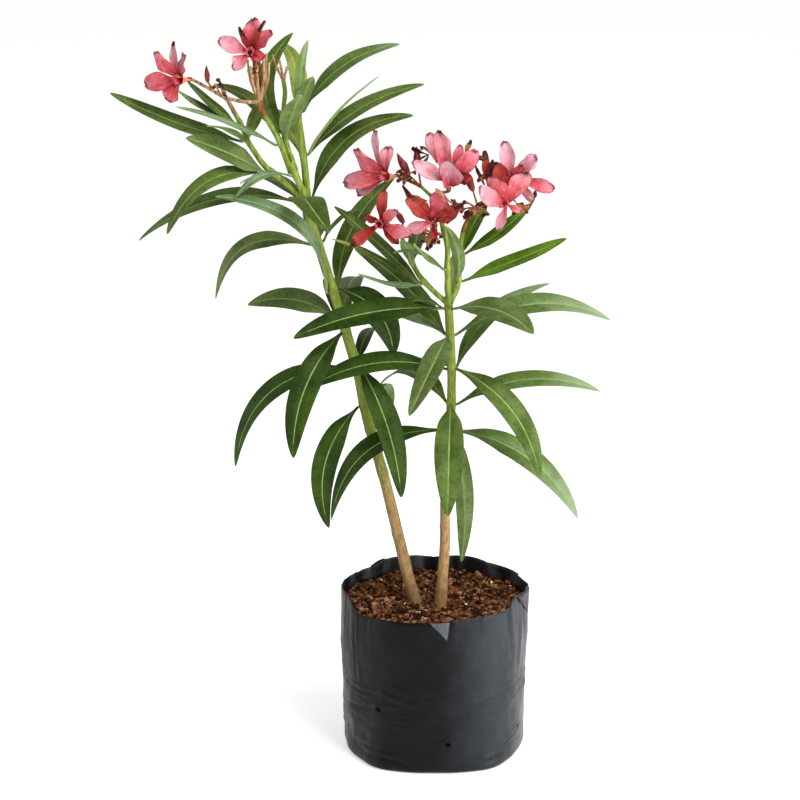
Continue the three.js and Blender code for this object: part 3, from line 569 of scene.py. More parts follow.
# %% The leaves of each whorl
WHORLS = [
    ("left_whorl_1", left_stem, 306, [
        (-63, 34, -105, 17, 2, 20, 55, "deep"), (166, 95, -30, 18, 0, 17, 0, "grey")]),
    ("left_whorl_2", left_stem, 341, [
        (35, 67, -100, 6, -4, 24, 0, "deep"), (-94, 104, -92, 28, 0, 22, 35, "deep"),
        (170, 92, 8, 10, 0, 11, 0, "deep")]),
    ("left_whorl_3", left_stem, 371, [
        (-43, 64, -98, 14, 3, 22, 40, "deep"), (-170, 100, 20, 14, 0, 20, 0, "deep")]),
    ("left_whorl_4", left_stem, 384, [
        (-111, 86, 2, 9, 3, 22, 34, "olive"), (172, 100, 8, 12, 0, 20, 0, "olive")]),
    ("left_whorl_5", left_stem, 406, [
        (-68, 103, 89, 26, -16, 23, 32, "grey"), (84, 51, -55, 13, 0, 25, 55, "deep"),
        (129, 67, 88, 5, -14, 18, 24, "mid")]),
    ("left_whorl_6", left_stem, 447, [
        (-98, 88, -51, 26, -4, 20, 34, "olive"), (115, 36, 26, 4, 0, 8, 0, "mid"),
        (-175, 85, 8, 10, 0, 19, 0, "mid")]),
    ("left_whorl_7", left_stem, 483, [
        (-97, 142, -38, 18, 5, 20, 24, "mid"), (14, 91, -7, 13, 9, 27, 0, "mid"),
        (107, 94, 67, 21, 0, 20, 28, "mid"), (-140, 90, 0, 12, 0, 19, 0, "mid")]),
    ("left_shoot_low_whorl", left_shoot, 508, [
        (-72, 90, -47, 26, -14, 18, 25, "mid"), (-59, 79, 36, 3, 3, 24, 48, "olive")]),
    ("left_shoot_mid_whorl", left_shoot, 535, [
        (-93, 113, 38, -5, 3, 18, 25, "mid"), (-31, 58, 21, 3, 0, 13, 0, "olive"),
        (159, 50, 30, 4, 0, 12, 0, "young")]),
    ("left_shoot_top_whorl", left_shoot, 549, [
        (-88, 52, 28, -3, 4, 12, 10, "olive"), (-108, 46, 32, 1, -6, 12, 10, "mid")]),
    ("middle_foot_whorl", middle_foot, 507, [(-51, 61, -12, 9, 0, 10, 20, "grey")]),
    ("middle_front_whorl", front_shoot, 533, [(-85, 85, 32, 3, 1, 9, 24, "grey")]),
    ("middle_back_whorl", back_shoot, 535, [
        (14, 62, 47, 3, 0, 17, 0, "pale"), (-99, 60, 43, 10, 0, 16, 30, "mid"),
        (165, 26, 84, 4, -20, 15, 0, "mid")]),
    ("upright_low_whorl", upright_shoot, 522, [
        (96, 101, 57, 11, 3, 19, 28, "mid"), (62, 72, 72, 4, 5, 13, 15, "pale"),
        (-150, 80, 25, 12, 0, 17, 0, "young")]),
    ("upright_top_whorl", upright_shoot, 558, [
        (93, 84, 56, 13, 6, 18, 28, "sheen"), (39, 14, 62, 2, 3, 10, 0, "young"),
        (-163, 58, 50, 8, 6, 14, 0, "young"), (22, 33, 35, 4, -1, 14, 0, "pale")]),
    ("right_whorl_1", right_stem, 288, [
        (-86, 101, -78, 28, -3, 23, 32, "deep"), (79, 110, -72, 14, -10, 24, 32, "sheen"),
        (163, 38, -131, 8, 4, 16, 0, "deep")]),
    ("right_whorl_2", right_stem, 311, [
        (-3, 61, -80, 12, 0, 23, 0, "mid"), (91, 126, 10, 17, 4, 20, 28, "sheen"),
        (-137, 88, -1, 19, 0, 18, 10, "mid")]),
    ("right_whorl_3", right_stem, 342, [
        (64, 82, -85, 20, 5, 23, 25, "mid"), (-89, 124, -19, 15, -4, 22, 28, "deep"),
        (127, 106, 58, 11, -8, 17, 12, "sheen"), (-160, 95, -27, 9, 4, 19, 0, "mid")]),
    ("right_whorl_4", right_stem, 371, [
        (-25, 82, -49, 12, -6, 20, 5, "olive"), (100, 138, 7, 21, 4, 22, 28, "sheen"),
        (-129, 86, 3, 11, -2, 19, 15, "pale"), (-126, 100, 61, 9, -2, 22, 15, "mid")]),
    ("right_whorl_5", right_stem, 394.5, [
        (-78, 132, -19, 8, 3, 24, 33, "deep"), (44, 98, -4, 9, -4, 25, 24, "olive"),
        (-100, 42, 0, 6, 0, 12, 0, "mid"), (174, 80, 30, 4, 0, 12, 0, "young")]),
    ("left_twig_whorl", left_twig, 416, [
        (-69, 59, 12, -4, -2, 9, 20, "grey"), (-89, 77, 37, 3, 3, 11, 10, "young"),
        (-99, 76, 62, 2, -2, 17, 20, "mid")]),
    ("left_twig_top_whorl", left_twig, 432, [
        (-20, 24, 24, 3, 0, 11, 0, "pale"), (170, 60, 18, 8, 0, 13, 0, "mid")]),
    ("middle_twig_whorl", middle_twig, 430, [
        (-70, 48, 17, 6, 0, 10, 10, "grey"), (-36, 48, 30, -2, 0, 9, 0, "young")]),
    ("right_twig_low_whorl", right_twig, 416, [
        (87, 90, 37, -1, -1, 17, 28, "bright"), (-17, 42, 56, 4, -4, 11, 0, "pale")]),
    ("right_twig_top_whorl", right_twig, 438, [
        (103, 64, 42, -2, 5, 13, 30, "bright"), (150, 47, 33, 8, 3, 13, 0, "bright")]),
]
print("whorls", len(WHORLS), "leaves", sum(len(w[3]) for w in WHORLS))

# %% [markdown]
# ## From a line to a stem
# A stem is a skin over many rings. At each node the ring swells and shows the scars of lost
# leaves, and slow noise keeps the wood from looking turned on a lathe.

# %% Skin of a limb
DOME = ((0.45, 0.85), (0.75, 0.5))  # the rounded end of a limb: lift and size, in radii
SINK = 5.0  # how deep the foot of a limb goes into what bears it


def ridge(distance, width):
    """1 on a line, and fading to 0 away from it."""
    return math.exp(-((distance / width) ** 2))


def limb_rings(limb, nodes, sides=20, step=1.5, rough=0.08, knots=1.0):
    """Rings of a limb and the marks of their points. nodes are the heights of leaf scars."""
    spans = max(4, round(limb.length / step))
    lean = squared(Vector((0, 1, 0.01)), limb.direction(0))
    rings = []
    marks = {"grain_x": [], "grain_y": [], "grain_z": [], "scar": []}
    seed = Vector((limb.at(0).x * 0.7, 0, 0))
    for i in range(spans + 1):
        share = i / spans
        way, centre, plain = limb.direction(share), limb.at(share), limb.radius(share)
        lean = squared(lean, way)
        across = lean.cross(way)
        ring, scars = [], []
        for angle in turns(sides):
            radius, dark = plain, 0.0
            for k, height in enumerate(nodes):
                gap = centre.z - height
                scar = 0.6 + 0.4 * math.cos(3 * angle + k * 2.1)
                radius += knots * (0.5 * scar * ridge(gap, 1.4) + 0.3 * ridge(gap, 4.5))
                dark = max(dark, ridge(gap + 1.3, 0.4 + 0.3 * scar) * (0.4 + 0.6 * scar))
            out = spoke(lean, across, angle)
            radius += rough * 2 * noise.noise(centre * 0.05 + out * 0.8 + seed)
            ring.append(centre + out * radius)
            scars.append(dark)
        rings.append(ring)
        marks["grain_x"].append([plain * math.cos(angle) for angle in turns(sides)])
        marks["grain_y"].append([plain * math.sin(angle) for angle in turns(sides)])
        marks["grain_z"].append([share * limb.length * 0.4] * sides)
        marks["scar"].append(scars)
    drop = limb.direction(0) * SINK
    rings.insert(0, [p - drop for p in rings[0]])
    way, centre, radius = limb.direction(1), limb.at(1), limb.radius(1)
    last = rings[-1]
    for lift, size in DOME:
        rings.append([centre + (p - centre) * size + way * radius * lift for p in last])
    for rows in marks.values():
        rows[:] = [rows[0], *rows, rows[-1], rows[-1]]
    return close_ends(rings, marks, limb.at(0) - drop, centre + way * radius * 0.85), marks


def limb_piece(name, limb, material, slot, bare=(), **settings):
    """bare are the heights of scars that have lost their leaves."""
    nodes = [*bare, *(height for _, grown, height, _ in WHORLS if grown is limb)]
    rings, marks = limb_rings(limb, nodes, **settings)
    bm = marked_bmesh(marks)
    skin(bm, rings, marks)
    return finish_piece(bm, name + "_skin", [material], [name])


print("rings in the dome of a limb:", len(DOME))

# %% Grow the stems and shoots
STEMS = {
    "left_stem": (left_stem, (141, 193, 247, 284)),
    "right_stem": (right_stem, (146, 202, 256)),
}
for name, (limb, bare) in STEMS.items():
    limb_piece(name, limb, BARK, "bark", bare, sides=28, step=1.2, rough=0.2, knots=0.7)
SHOOTS = {
    "left_shoot": left_shoot,
    "middle_shoot_foot": middle_foot,
    "middle_shoot_front": front_shoot,
    "middle_shoot_back": back_shoot,
    "upright_shoot": upright_shoot,
    "left_twig": left_twig,
    "middle_twig": middle_twig,
    "right_twig": right_twig,
}
for name, limb in SHOOTS.items():
    limb_piece(name, limb, SHOOT, "young_stem")
print("limbs grown:", len(STEMS) + len(SHOOTS))

# %% [markdown]
# ## One leaf
# A leaf could be a flat card, but its folded midrib, rounded edges and slight ripple are what
# catch the light. Its rings run along a curve from the stem to the tip, and each ring goes
# once round the blade: over the top from edge to edge, and back below it.

# %% Lines and outline of a leaf
ACROSS = [1, 0.975, 0.87, 0.68, 0.45, 0.22, 0.042, 0]
ACROSS += [-x for x in ACROSS[-2::-1]]
TOP_POINTS = len(ACROSS)
SECTION = ACROSS + ACROSS[-2:0:-1]
RIB_REACH = 0.05
LEAF_ROWS = 30


def ease(value, low, high):
    """0 at low, 1 at high, with a soft start and end."""
    share = min(1.0, max(0.0, (value - low) / (high - low)))
    return share * share * (3 - 2 * share)


def leaf_outline(share):
    """Half the width along a leaf: a narrow foot, long even flanks and a blunt point."""
    body = max(0.0, math.sin(math.pi * share**0.86)) ** 0.62
    return 1.08 * body * (0.55 + 0.45 * ease(share, 0.0, 0.2))


def along_blade(start, knee, tip, side, share, turn):
    """A spot on the bent middle line of a blade that is turned by an angle there, and the
    directions on along the line, aside across the blade, and out of its face."""
    rest = 1 - share
    spot = start * rest * rest + knee * 2 * share * rest + tip * share * share
    way = ((knee - start) * rest + (tip - knee) * share).normalized()
    level = Quaternion(way, turn) @ squared(side, way)
    return spot, way, level, level.cross(way)


print("points round a leaf:", len(SECTION), "rows along it:", LEAF_ROWS)

# %% Build a leaf
# in the frame a collar of nine sides carries the leaves of a whorl, so a blade starts in its wall
COLLAR_SIDES, COLLAR_GAP, COLLAR_SEAT = 9, 0.38, 1.19
SUNK = -0.02  # stands for the row that is sunk into the stem


def leaf(bm, limb, height, size, slots, rng):
    """One leaf in the bmesh. slots are its top, underside and rib materials."""
    turn, reach, rise, bow, sweep, width, tilt = size
    at = limb.share_at_height(height)
    centre, stem_way, stem_radius = limb.at(at), limb.direction(at), limb.radius(at)
    out = heading(turn)
    side = Vector((out.y, -out.x, 0))
    radial = squared(out, stem_way)
    collar = (stem_radius + COLLAR_GAP) / math.cos(math.pi / COLLAR_SIDES)
    base = centre + radial * (collar + COLLAR_SEAT)
    tip = centre + out * reach + UP * rise
    chord = (tip - base).normalized()
    off = side.cross(chord).normalized()
    knee = base.lerp(tip, 0.5) + off * 2 * bow + side * 2 * sweep
    length = (tip - base).length
    roll = math.radians(tilt) * (-1 if turn < 0 else 1)
    phase, ripple = rng.uniform(0, 6.3), rng.uniform(0.25, 0.6)
    twist = math.radians(rng.uniform(-7, 7))
    rings, marks = [], {"across": [], "along": []}
    for share in [SUNK, *(i / LEAF_ROWS for i in range(LEAF_ROWS)), 0.985, 0.997]:
        held = max(share, 0.0)
        angle = roll * min(1.0, held / 0.3) + twist * held
        spot, _, level, face = along_blade(base, knee, tip, side, held, angle)
        if share < 0:
            spot = centre + radial * (stem_radius - 0.6) - stem_way * 0.6
        half = max(1.25 if held < 0.5 else 0.25, width / 2 * leaf_outline(held))
        stalk_share = 1 - ease(held, 0.02, 0.14)
        ring = []
        for i, x in enumerate(SECTION):
            under = i >= TOP_POINTS
            aside = x * half
            lens = (1 - x**4) * (0.3 + 0.65 * stalk_share) + (0.0 if abs(x) > 0.99 else 0.06)
            lift = 0.15 * abs(aside) * (1 - stalk_share)
            lift += 0.055 * half * math.sin(math.pi * abs(x)) * (1 - stalk_share)
            lift += ripple * x * abs(x) * math.sin(9 * held + phase + (1.7 if x > 0 else 0))
            rib = ridge(aside, 1.1) * min(1.0, half / 4)
            lens += 0.45 * rib * (1 - 0.6 * held) if under else -0.3 * rib
            ring.append(spot + level * aside + face * (lift + (-lens if under else lens)))
        rings.append(ring)
        marks["across"].append([x * half for x in SECTION])
        marks["along"].append([held * length] * len(SECTION))
    rings = close_ends(rings, marks, tip=tip)

    def slot(row, column):
        low, high = SECTION[column], SECTION[(column + 1) % len(SECTION)]
        if max(abs(low), abs(high)) < RIB_REACH and row < len(rings) - 6:
            return slots[2]
        return slots[0] if column < TOP_POINTS - 1 else slots[1]

    skin(bm, rings, marks, slot)


print("a blade starts", COLLAR_SEAT, "mm into the collar")

# %% Grow the whorls
rng = random.Random(11)
for name, limb, height, leaves in WHORLS:
    bm = marked_bmesh(("across", "along"))
    tones = sorted({entry[-1] for entry in leaves})
    materials = [LEAF_TONES[tone] for tone in tones] + [UNDERSIDE, RIB]
    for *size, tone in leaves:
        slots = (tones.index(tone), len(tones), len(tones) + 1)
        leaf(bm, limb, height, size, slots, rng)
    finish_piece(bm, name + "_leaves", materials, [name])
print("leaf pieces:", len(WHORLS))

# %% [markdown]
# ## Petals
# An oleander petal is narrow at the throat and wide and slanted at its end, like a propeller
# blade. Its colour runs from peach at the throat through coral to a lighter edge, with fine
# deeper lines. Late in the season some tips are dry, dark and curled, and these get a finish
# of their own.

# %% Finishes of the flowers


def petal_finish(name, near, far, edge):
    """Three sRGB colours: at the throat, over the blade and at the edge."""
    f = Finish(
        name, 0.6, Subsurface_Weight=0.12, Subsurface_Scale=0.002,
        Subsurface_Radius=(1.0, 0.35, 0.25), Specular_IOR_Level=0.08,
    )
    near, far, edge = shade(*near), shade(*far), shade(*edge)
    along, across = f.mark("along"), f.mark("across")
    where = f.add("CombineXYZ", {0: across, 1: f.times(along, 0.22)}).outputs[0]
    streaks = f.noise(0.55, 3, place=where)
    lines = f.work("SINE", f.times(across, 5.2))
    lines = f.span(f.plus(lines, f.times(f.noise(160), 1.2)), 0.5, 1.9)
    body = f.blend(f.span(along, 2.0, 14.0), near, far)
    body = f.blend(f.span(along, 11.0, 30.0, 0, 0.8), body, edge)
    body = f.blend(f.times(lines, 0.5), body, near)
    body = f.blend(f.span(streaks, 0.5, 0.72, 0, 0.55), body, edge)
    body = f.blend(f.span(f.noise(150, 3), 0.48, 0.72, 0, 0.6), body, near)
    rim = f.plus(f.mark("rim"), f.times(f.noise(220, 2), 0.16))
    f.colour(f.blend(f.span(rim, 0.98, 1.06, 0, 0.8), body, shade(112, 42, 50)))
    f.bump(f.plus(lines, f.noise(500)), 0.4, 0.0004)
    return f.material


FLOWER_FINISHES = {
    "coral": petal_finish("petal_coral", (154, 30, 34), (203, 88, 98), (217, 150, 160)),
    "pale": petal_finish("petal_pale", (176, 58, 64), (199, 134, 144), (206, 178, 190)),
    "red": petal_finish("petal_red", (100, 16, 12), (154, 48, 40), (188, 92, 82)),
    "withered": plain_finish("petal_withered", (42, 16, 14), (110, 46, 38), 0.7),
    "funnel": plain_finish("flower_funnel", (206, 104, 78), (234, 160, 122), 0.5),
    "throat": plain_finish("flower_throat", (178, 36, 30), (214, 78, 62), 0.5),
    "dry": plain_finish("petal_dry", (116, 66, 38), (194, 140, 96), 0.8),
}
FLOWER_SLOTS = {name: slot for slot, name in enumerate(FLOWER_FINISHES)}
GREEN_STALK, BROWN_STALK, CALYX, BUD_RED, DRY_STALK = range(5)  # slots of the stalks
STALK_FINISHES = [
    SHOOT,
    plain_finish("brown_stalk", (104, 58, 34), (164, 104, 62), 0.65),
    plain_finish("calyx", (96, 52, 34), (146, 96, 60), 0.55),
    plain_finish("closed_bud", (76, 24, 26), (136, 54, 48), 0.5),
    plain_finish("dry_stalk", (112, 78, 46), (206, 170, 126), 0.75),
]
print("flower finishes:", len(FLOWER_FINISHES) + len(STALK_FINISHES) - 1)

# %% [markdown]
# ## Build a bloom
# A bloom is a funnel with five petals round its mouth, a ring of small fringes in the throat
# and five short sepals behind. The petals are blades like the leaves, with fewer points, a
# wavy edge and a twist.

# %% Build a petal
PETAL_MARKS = ("across", "along", "rim")
PETAL_ACROSS = [1, 0.92, 0.78, 0.55, 0.28, 0, -0.28, -0.55, -0.78, -0.92, -1]
PETAL_SECTION = PETAL_ACROSS + PETAL_ACROSS[-2:0:-1]
PETAL_SHARES = [*(row / 18 for row in range(18)), 0.975, 0.993]
PETAL_SPREAD = 1.34  # makes up for the width that the waves and the cup take away


def petal_outline(share):
    """Half the width along a petal, which is widest near its blunt end."""
    rest = max(0.0, 1 - max(0.0, (share - 0.62) / 0.38) ** 2.5)
    return (0.3 + 0.7 * ease(share, 0.0, 0.6)) * math.sqrt(rest)


def petal(bm, start, tip, side, front, width, curl, tone, wither, rng):
    """One petal from the throat to its tip. wither is the share of it that is dry."""
    knee = start.lerp(tip, 0.5) + front * curl
    length = (tip - start).length
    phase, slant = rng.uniform(0, 6.3), rng.choice((-1, 1))
    wave, cup = rng.uniform(0.9, 2.2) * min(1, width / 9), rng.uniform(-0.1, 0.75)
    twist = math.radians(rng.uniform(8, 40)) * slant
    torn = rng.uniform(0.2, 0.8)
    rings, marks = [], {name: [] for name in PETAL_MARKS}
    for share in PETAL_SHARES:
        spot, way, level, face = along_blade(start, knee, tip, side, share, twist * share)
        dry = ease(share, 1 - wither, 1.0) if wither else 0.0
        half = PETAL_SPREAD * width / 2 * petal_outline(share) * (1 - 0.4 * dry)
        half = max(0.3, half * (1 + 0.07 * math.sin(11 * share + phase)))
        ring = []
        for i, x in enumerate(PETAL_SECTION):
            lens = 0.24 * (1 - x**4) + (0.0 if abs(x) > 0.99 else 0.05)
            lift = cup * half * x * x * (1 - 0.5 * share)
            lift += wave * abs(x) * x * math.sin(8 * share + phase) * ease(share, 0.2, 0.7)
            lift += 0.5 * wave * math.sin(6.2 * x + phase) * ease(share, 0.3, 1)
            lift -= 0.09 * width * ridge(x, 0.2) * ease(share, 0.05, 0.4) * (1 - 0.6 * share)
            lift += dry * 2.6 * abs(x) * (1.0 + 0.5 * math.sin(phase + 5 * x))
            lift += -lens if i >= len(PETAL_ACROSS) else lens
            end = slant * x * half * 0.42 + torn * wave * math.sin(9 * x + 2 * phase)
            end += torn * 0.8 * math.sin(21 * x + phase)
            slip = way * (end * ease(share, 0.6, 1.0))
            ring.append(spot + level * x * half + slip + face * lift)
        rings.append(ring)
        marks["across"].append([x * half for x in PETAL_SECTION])
        marks["along"].append([share * length] * len(PETAL_SECTION))
        marks["rim"].append([max(abs(x), ease(share, 0.5, 1.0)) for x in PETAL_SECTION])
    dry_row = (1 - 0.62 * wither) * len(PETAL_SHARES) if wither else math.inf
    slots = (FLOWER_SLOTS[tone], FLOWER_SLOTS["withered"])
    skin(bm, close_ends(rings, marks), marks, lambda row, column: slots[row > dry_row])


print("points round a petal:", len(PETAL_SECTION), "rows along it:", len(PETAL_SHARES))

# %% Build stalks and buds
BUD_SHARES = (0, 0.12, 0.3, 0.45, 0.6, 0.75, 0.9, 1)
BUD_SIZES = (0.45, 0.75, 0.98, 1.0, 0.85, 0.6, 0.32, 0.08)
BUD_SIDES = 12


def round_rings(places, radii, sides=10):
    """Rings round a path of places, closed to a point at both ends."""
    rings = []
    lean = squared(Vector((0.3, 1, 0.2)), (places[1] - places[0]).normalized())
    for i, (place, radius) in enumerate(zip(places, radii)):
        before, after = places[max(i - 1, 0)], places[min(i + 1, len(places) - 1)]
        way = (after - before).normalized()
        lean = squared(lean, way)
        across = lean.cross(way)
        rings.append([place + spoke(lean, across, turn) * radius for turn in turns(sides)])
    return close_ends(rings, foot=places[0], tip=places[-1])


def stalk(bm, points, foot_radius, tip_radius, slot, sides=10, knots=0.0):
    """A thin stalk through points. knots gives it small joints."""
    line = Limb(points, foot_radius, tip_radius)
    spans = max(4, round(line.length / 1.8))
    places, radii = [], []
    for i in range(spans + 1):
        share = i / spans
        joint = knots * max(0.0, math.sin(share * line.length * 0.75)) ** 6
        places.append(line.at(share))
        radii.append(line.radius(share) + joint)
    skin(bm, round_rings(places, radii, sides), slot=slot)


def bud(bm, foot, neck, tip, radius):
    """A pointed, fluted bud from neck to tip, on a stalk from foot."""
    neck, tip = Vector(neck), Vector(tip)
    places = [neck.lerp(tip, share) for share in BUD_SHARES]
    rings = round_rings(places, [radius * size for size in BUD_SIZES], BUD_SIDES)
    for i, ring in enumerate(rings[1:-1]):
        for k, turn in enumerate(turns(BUD_SIDES)):
            groove = 1 + 0.1 * math.cos(5 * (turn + i * 0.35))
            ring[k] = places[i] + (ring[k] - places[i]) * groove
    skin(bm, rings, slot=BUD_RED)
    stalk(bm, [Vector(foot), neck + (tip - neck).normalized()], 0.9, 0.8, BROWN_STALK, sides=8)


print("rings of a bud:", len(BUD_SIZES))

# %% Build a bloom
TUBE_LENGTH = 17
THROAT_RADIUS = 3.4
FUNNEL_SIDES, THROAT_ROW = 20, 6
# share of the tube's length and radius: out along the funnel, and back down inside it
FUNNEL = [(0, 1.0), (0.2, 1.25), (0.45, 1.5), (0.65, 2.4), (0.85, 3.6), (1.0, 4.3),
          (0.98, 3.7), (0.8, 2.7), (0.62, 1.6)]
PETAL_DEFAULTS = (4, None, 0.0)


def flat_marks(rings, along=0.0):
    """Marks of a petal for rings that aren't one, all alike."""
    values = (0.0, along, 0.0)
    return {m: [[v] * len(rings[0])] * len(rings) for m, v in zip(PETAL_MARKS, values)}


def funnel(bm, foot, throat, facing):
    """The funnel of a bloom, with five soft lobes."""
    lean = squared(Vector((0.3, 0.4, 1)), facing)
    across = lean.cross(facing)
    rings = []
    for share, radius in FUNNEL:
        place, ring = foot.lerp(throat, share), []
        for turn in turns(FUNNEL_SIDES):
            lobe = radius * (1 + 0.06 * math.cos(5 * turn))
            ring.append(place + spoke(lean, across, turn) * lobe)
        rings.append(ring)
    rings = close_ends(rings, foot=foot, tip=place)
    slots = (FLOWER_SLOTS["funnel"], FLOWER_SLOTS["throat"])
    skin(bm, rings, flat_marks(rings), lambda row, column: slots[row > THROAT_ROW])


def bloom(blossom, stalks, throat, turn, lift, petals, path, rng, tone="coral", bark=BROWN_STALK):
    """petals are (around, open, length, width, curl, tone, wither); the last three may lack.
    A length of 0 gives the fringe and the sepal without a petal."""
    pitch = math.radians(lift)
    facing = heading(turn) * math.cos(pitch) + UP * math.sin(pitch)
    throat = Vector(throat)
    top = squared(UP, facing)
    right = top.cross(facing)
    foot = throat - facing * TUBE_LENGTH
    funnel(blossom, foot, throat, facing)
    for around, spread, length, width, *rest in petals:
        curl, own, wither = (*rest, *PETAL_DEFAULTS[len(rest):])
        spin, spread = math.radians(around), math.radians(spread)
        radial = top * math.cos(spin) + right * math.sin(spin)
        along = facing * math.cos(spread) + radial * math.sin(spread)
        side = radial.cross(facing).normalized()
        front = side.cross(along).normalized()
        start = throat + radial * THROAT_RADIUS * 0.75 - facing * 1.2
        if length:
            tip = throat + along * length
            petal(blossom, start, tip, side, front, width, curl, own or tone, wither, rng)
        root = throat + radial * 2.4 + facing * 0.2
        for bend in (-0.5, 0.1, 0.6):
            end = root + facing * rng.uniform(3.2, 5.6) + side * bend * 3.4 + radial * 1.6
            middle = root.lerp(end, 0.55) - radial * 0.5
            rings = round_rings([root - facing, middle, end], [0.75, 0.7, 0.3], 6)
            skin(blossom, rings, flat_marks(rings, 14.0), FLOWER_SLOTS["coral"])
        sepal = foot + facing * 0.5
        places = [sepal, sepal + radial * 1.5 + facing * 1.6, sepal + radial * 2.1 + facing * 5]
        skin(stalks, round_rings(places, [0.7, 0.8, 0.15], 6), slot=CALYX)
    stalk(stalks, [*map(Vector, path), foot, foot + facing * 1.5], 1.5, 1.2, bark, knots=0.3)


print("a funnel is", TUBE_LENGTH, "mm long")


# %% [markdown]
# ## The flower heads
# Each head grows on from its shoot. The left plant carries two late blooms among a bundle of
# dry stalks that have dropped theirs. The right one holds the full head: three blooms and
# dark pointed buds in the middle, one low bloom on the left and two on the right.

# %% A head in two pieces


class Head:
    """A flower head as two pieces: its blossom, and its stalks with calyxes and buds."""

    def __init__(self, name, seed):
        self.name = name
        self.rng = random.Random(seed)
        self.blossom, self.stalks = marked_bmesh(PETAL_MARKS), bmesh.new()

    def grow(self, limb, points, foot_radius, tip_radius, slot):
        """Carries a shoot on into the head, through points."""
        way = limb.direction(1)
        points = [limb.at(1) - way * 4, limb.at(1) + way * 3, *map(Vector, points)]
        stalk(self.stalks, points, foot_radius, tip_radius, slot, knots=0.15)

    def stalk(self, *args, **settings):
        stalk(self.stalks, *args, **settings)

    def bud(self, *args):
        bud(self.stalks, *args)

    def bloom(self, *args, **settings):
        bloom(self.blossom, self.stalks, *args, rng=self.rng, **settings)

    def blades(self, rows):
        """Petals that face the viewer: foot, tip, width, curl, tone and share withered."""
        for foot, tip, *look in rows:
            foot, tip = Vector(foot), Vector(tip)
            way = (tip - foot).normalized()
            front = squared(Vector((0, -1, 0.3)), way)
            petal(self.blossom, foot, tip, way.cross(front), front, *look, self.rng)

    def wisps(self, centre, count, reach, width):
        """Dry brown bits of spent bloom that cling round a place."""
        for _ in range(count):
            way = Vector([self.rng.uniform(-1, 1) for _ in range(3)]).normalized()
            start = Vector(centre) + way * reach * self.rng.uniform(-0.3, 0.2)
            end = start + (way + UP * self.rng.uniform(-0.5, 0.6)).normalized() * reach
            side = squared(Vector((0.2, 0.3, 1)), way).cross(way)
            curl = self.rng.uniform(-0.3, 0.3) * reach
            tone = self.rng.choice(("dry", "dry", "withered"))
            petal(self.blossom, start, end, side, side.cross(way), width, curl, tone, 0.4, self.rng)

    def done(self):
        if self.blossom.verts:
            materials = list(FLOWER_FINISHES.values())
            finish_piece(self.blossom, self.name + "_blossom", materials, [self.name])
        finish_piece(self.stalks, self.name + "_stalks", STALK_FINISHES, [self.name])
        print(self.name, "is built")


# five places round a throat that carry fringes and sepals, for petals laid one by one
SPOKES = [(around, 60, 0, 0) for around in (0, 72, 144, -144, -72)]

# %% The heads of the left stem
JUNCTION, KNUCKLE = Vector((-172, 3, 568)), Vector((-145, -6, 568))
SPENT_FORK = Vector((-126, 12, 583))
STICKS = [(-155, -3, 602), (-152, -10, 598), (-145, 0, 606), (-141, -9, 605), (-137, -3, 600),
          (-150, -6, 603), (-147, -12, 596), (-139, -5, 608)]

head = Head("left_flower_head", 3)
head.grow(left_shoot, [JUNCTION], 1.9, 1.7, DRY_STALK)
head.bloom(
    (-211, -5, 586), -34, 8,
    [(-32, 60, 30, 12), (-8, 82, 31, 5, 8, "pale", 0.3), (16, 82, 22, 10, 4, "pale"),
     (-104, 72, 30, 12), (-156, 82, 20, 11, 4, "coral")],
    path=[JUNCTION, (-184, 0, 576)], bark=DRY_STALK,
)
head.bud((-184, 0, 576), (-188, 0, 583), (-189, 0, 597), 2.2)
head.stalk([(-178, 2, 572), (-182, 1, 582)], 1.0, 0.6, DRY_STALK)
head.wisps((-176, 2, 577), 5, 9, 3)
head.done()

head = Head("bundle_flower_head", 5)
head.grow(front_shoot, [KNUCKLE], 2.3, 2.5, BROWN_STALK)
head.stalk([KNUCKLE, (-156, -8, 568), (-171, -3, 570)], 1.7, 1.3, DRY_STALK, knots=0.5)
for k, tip in enumerate(map(Vector, STICKS)):
    bend = KNUCKLE.lerp(tip, 0.5) + Vector(((tip.x + 146) * 0.25, 0, 0))
    slot, foot_radius = (BROWN_STALK, 1.0) if k % 3 == 2 else (DRY_STALK, 1.4)
    head.stalk([KNUCKLE, bend, tip], foot_radius, 0.9, slot, knots=0.7)
head.bloom(
    (-152, -14, 610), -8, 24,
    [(6, 59, 29, 12, 4, "coral", 0.12), (-21, 53, 24, 5, 7, "red", 0.6),
     (-78, 64, 28, 10, 4, "pale"), (-138, 74, 20, 9, 4, "pale"), (51, 73, 25, 10),
     (33, 59, 31, 4, 7, "red", 0.6), (120, 76, 13, 8)],
    path=[KNUCKLE, (-147, -2, 588)],
)
head.wisps((-147, -8, 600), 7, 8, 3)
head.done()

head = Head("spent_flower_head", 7)
head.grow(back_shoot, [SPENT_FORK], 1.9, 1.8, GREEN_STALK)
head.stalk([SPENT_FORK, (-131, 12, 592), (-135, 12, 604)], 1.2, 0.9, DRY_STALK, knots=0.6)
head.stalk([SPENT_FORK, (-123, 13, 592), (-118, 12, 602)], 1.2, 0.8, DRY_STALK, knots=0.6)
head.stalk([SPENT_FORK, (-129, 9, 600)], 1.0, 0.8, DRY_STALK, knots=0.5)
head.done()

# %% The low head and the main head
FORK, RIGHT_FORK, BUD_FOOT = Vector((2, -18, 484)), Vector((35, -7, 481)), Vector((-12, -17, 499))

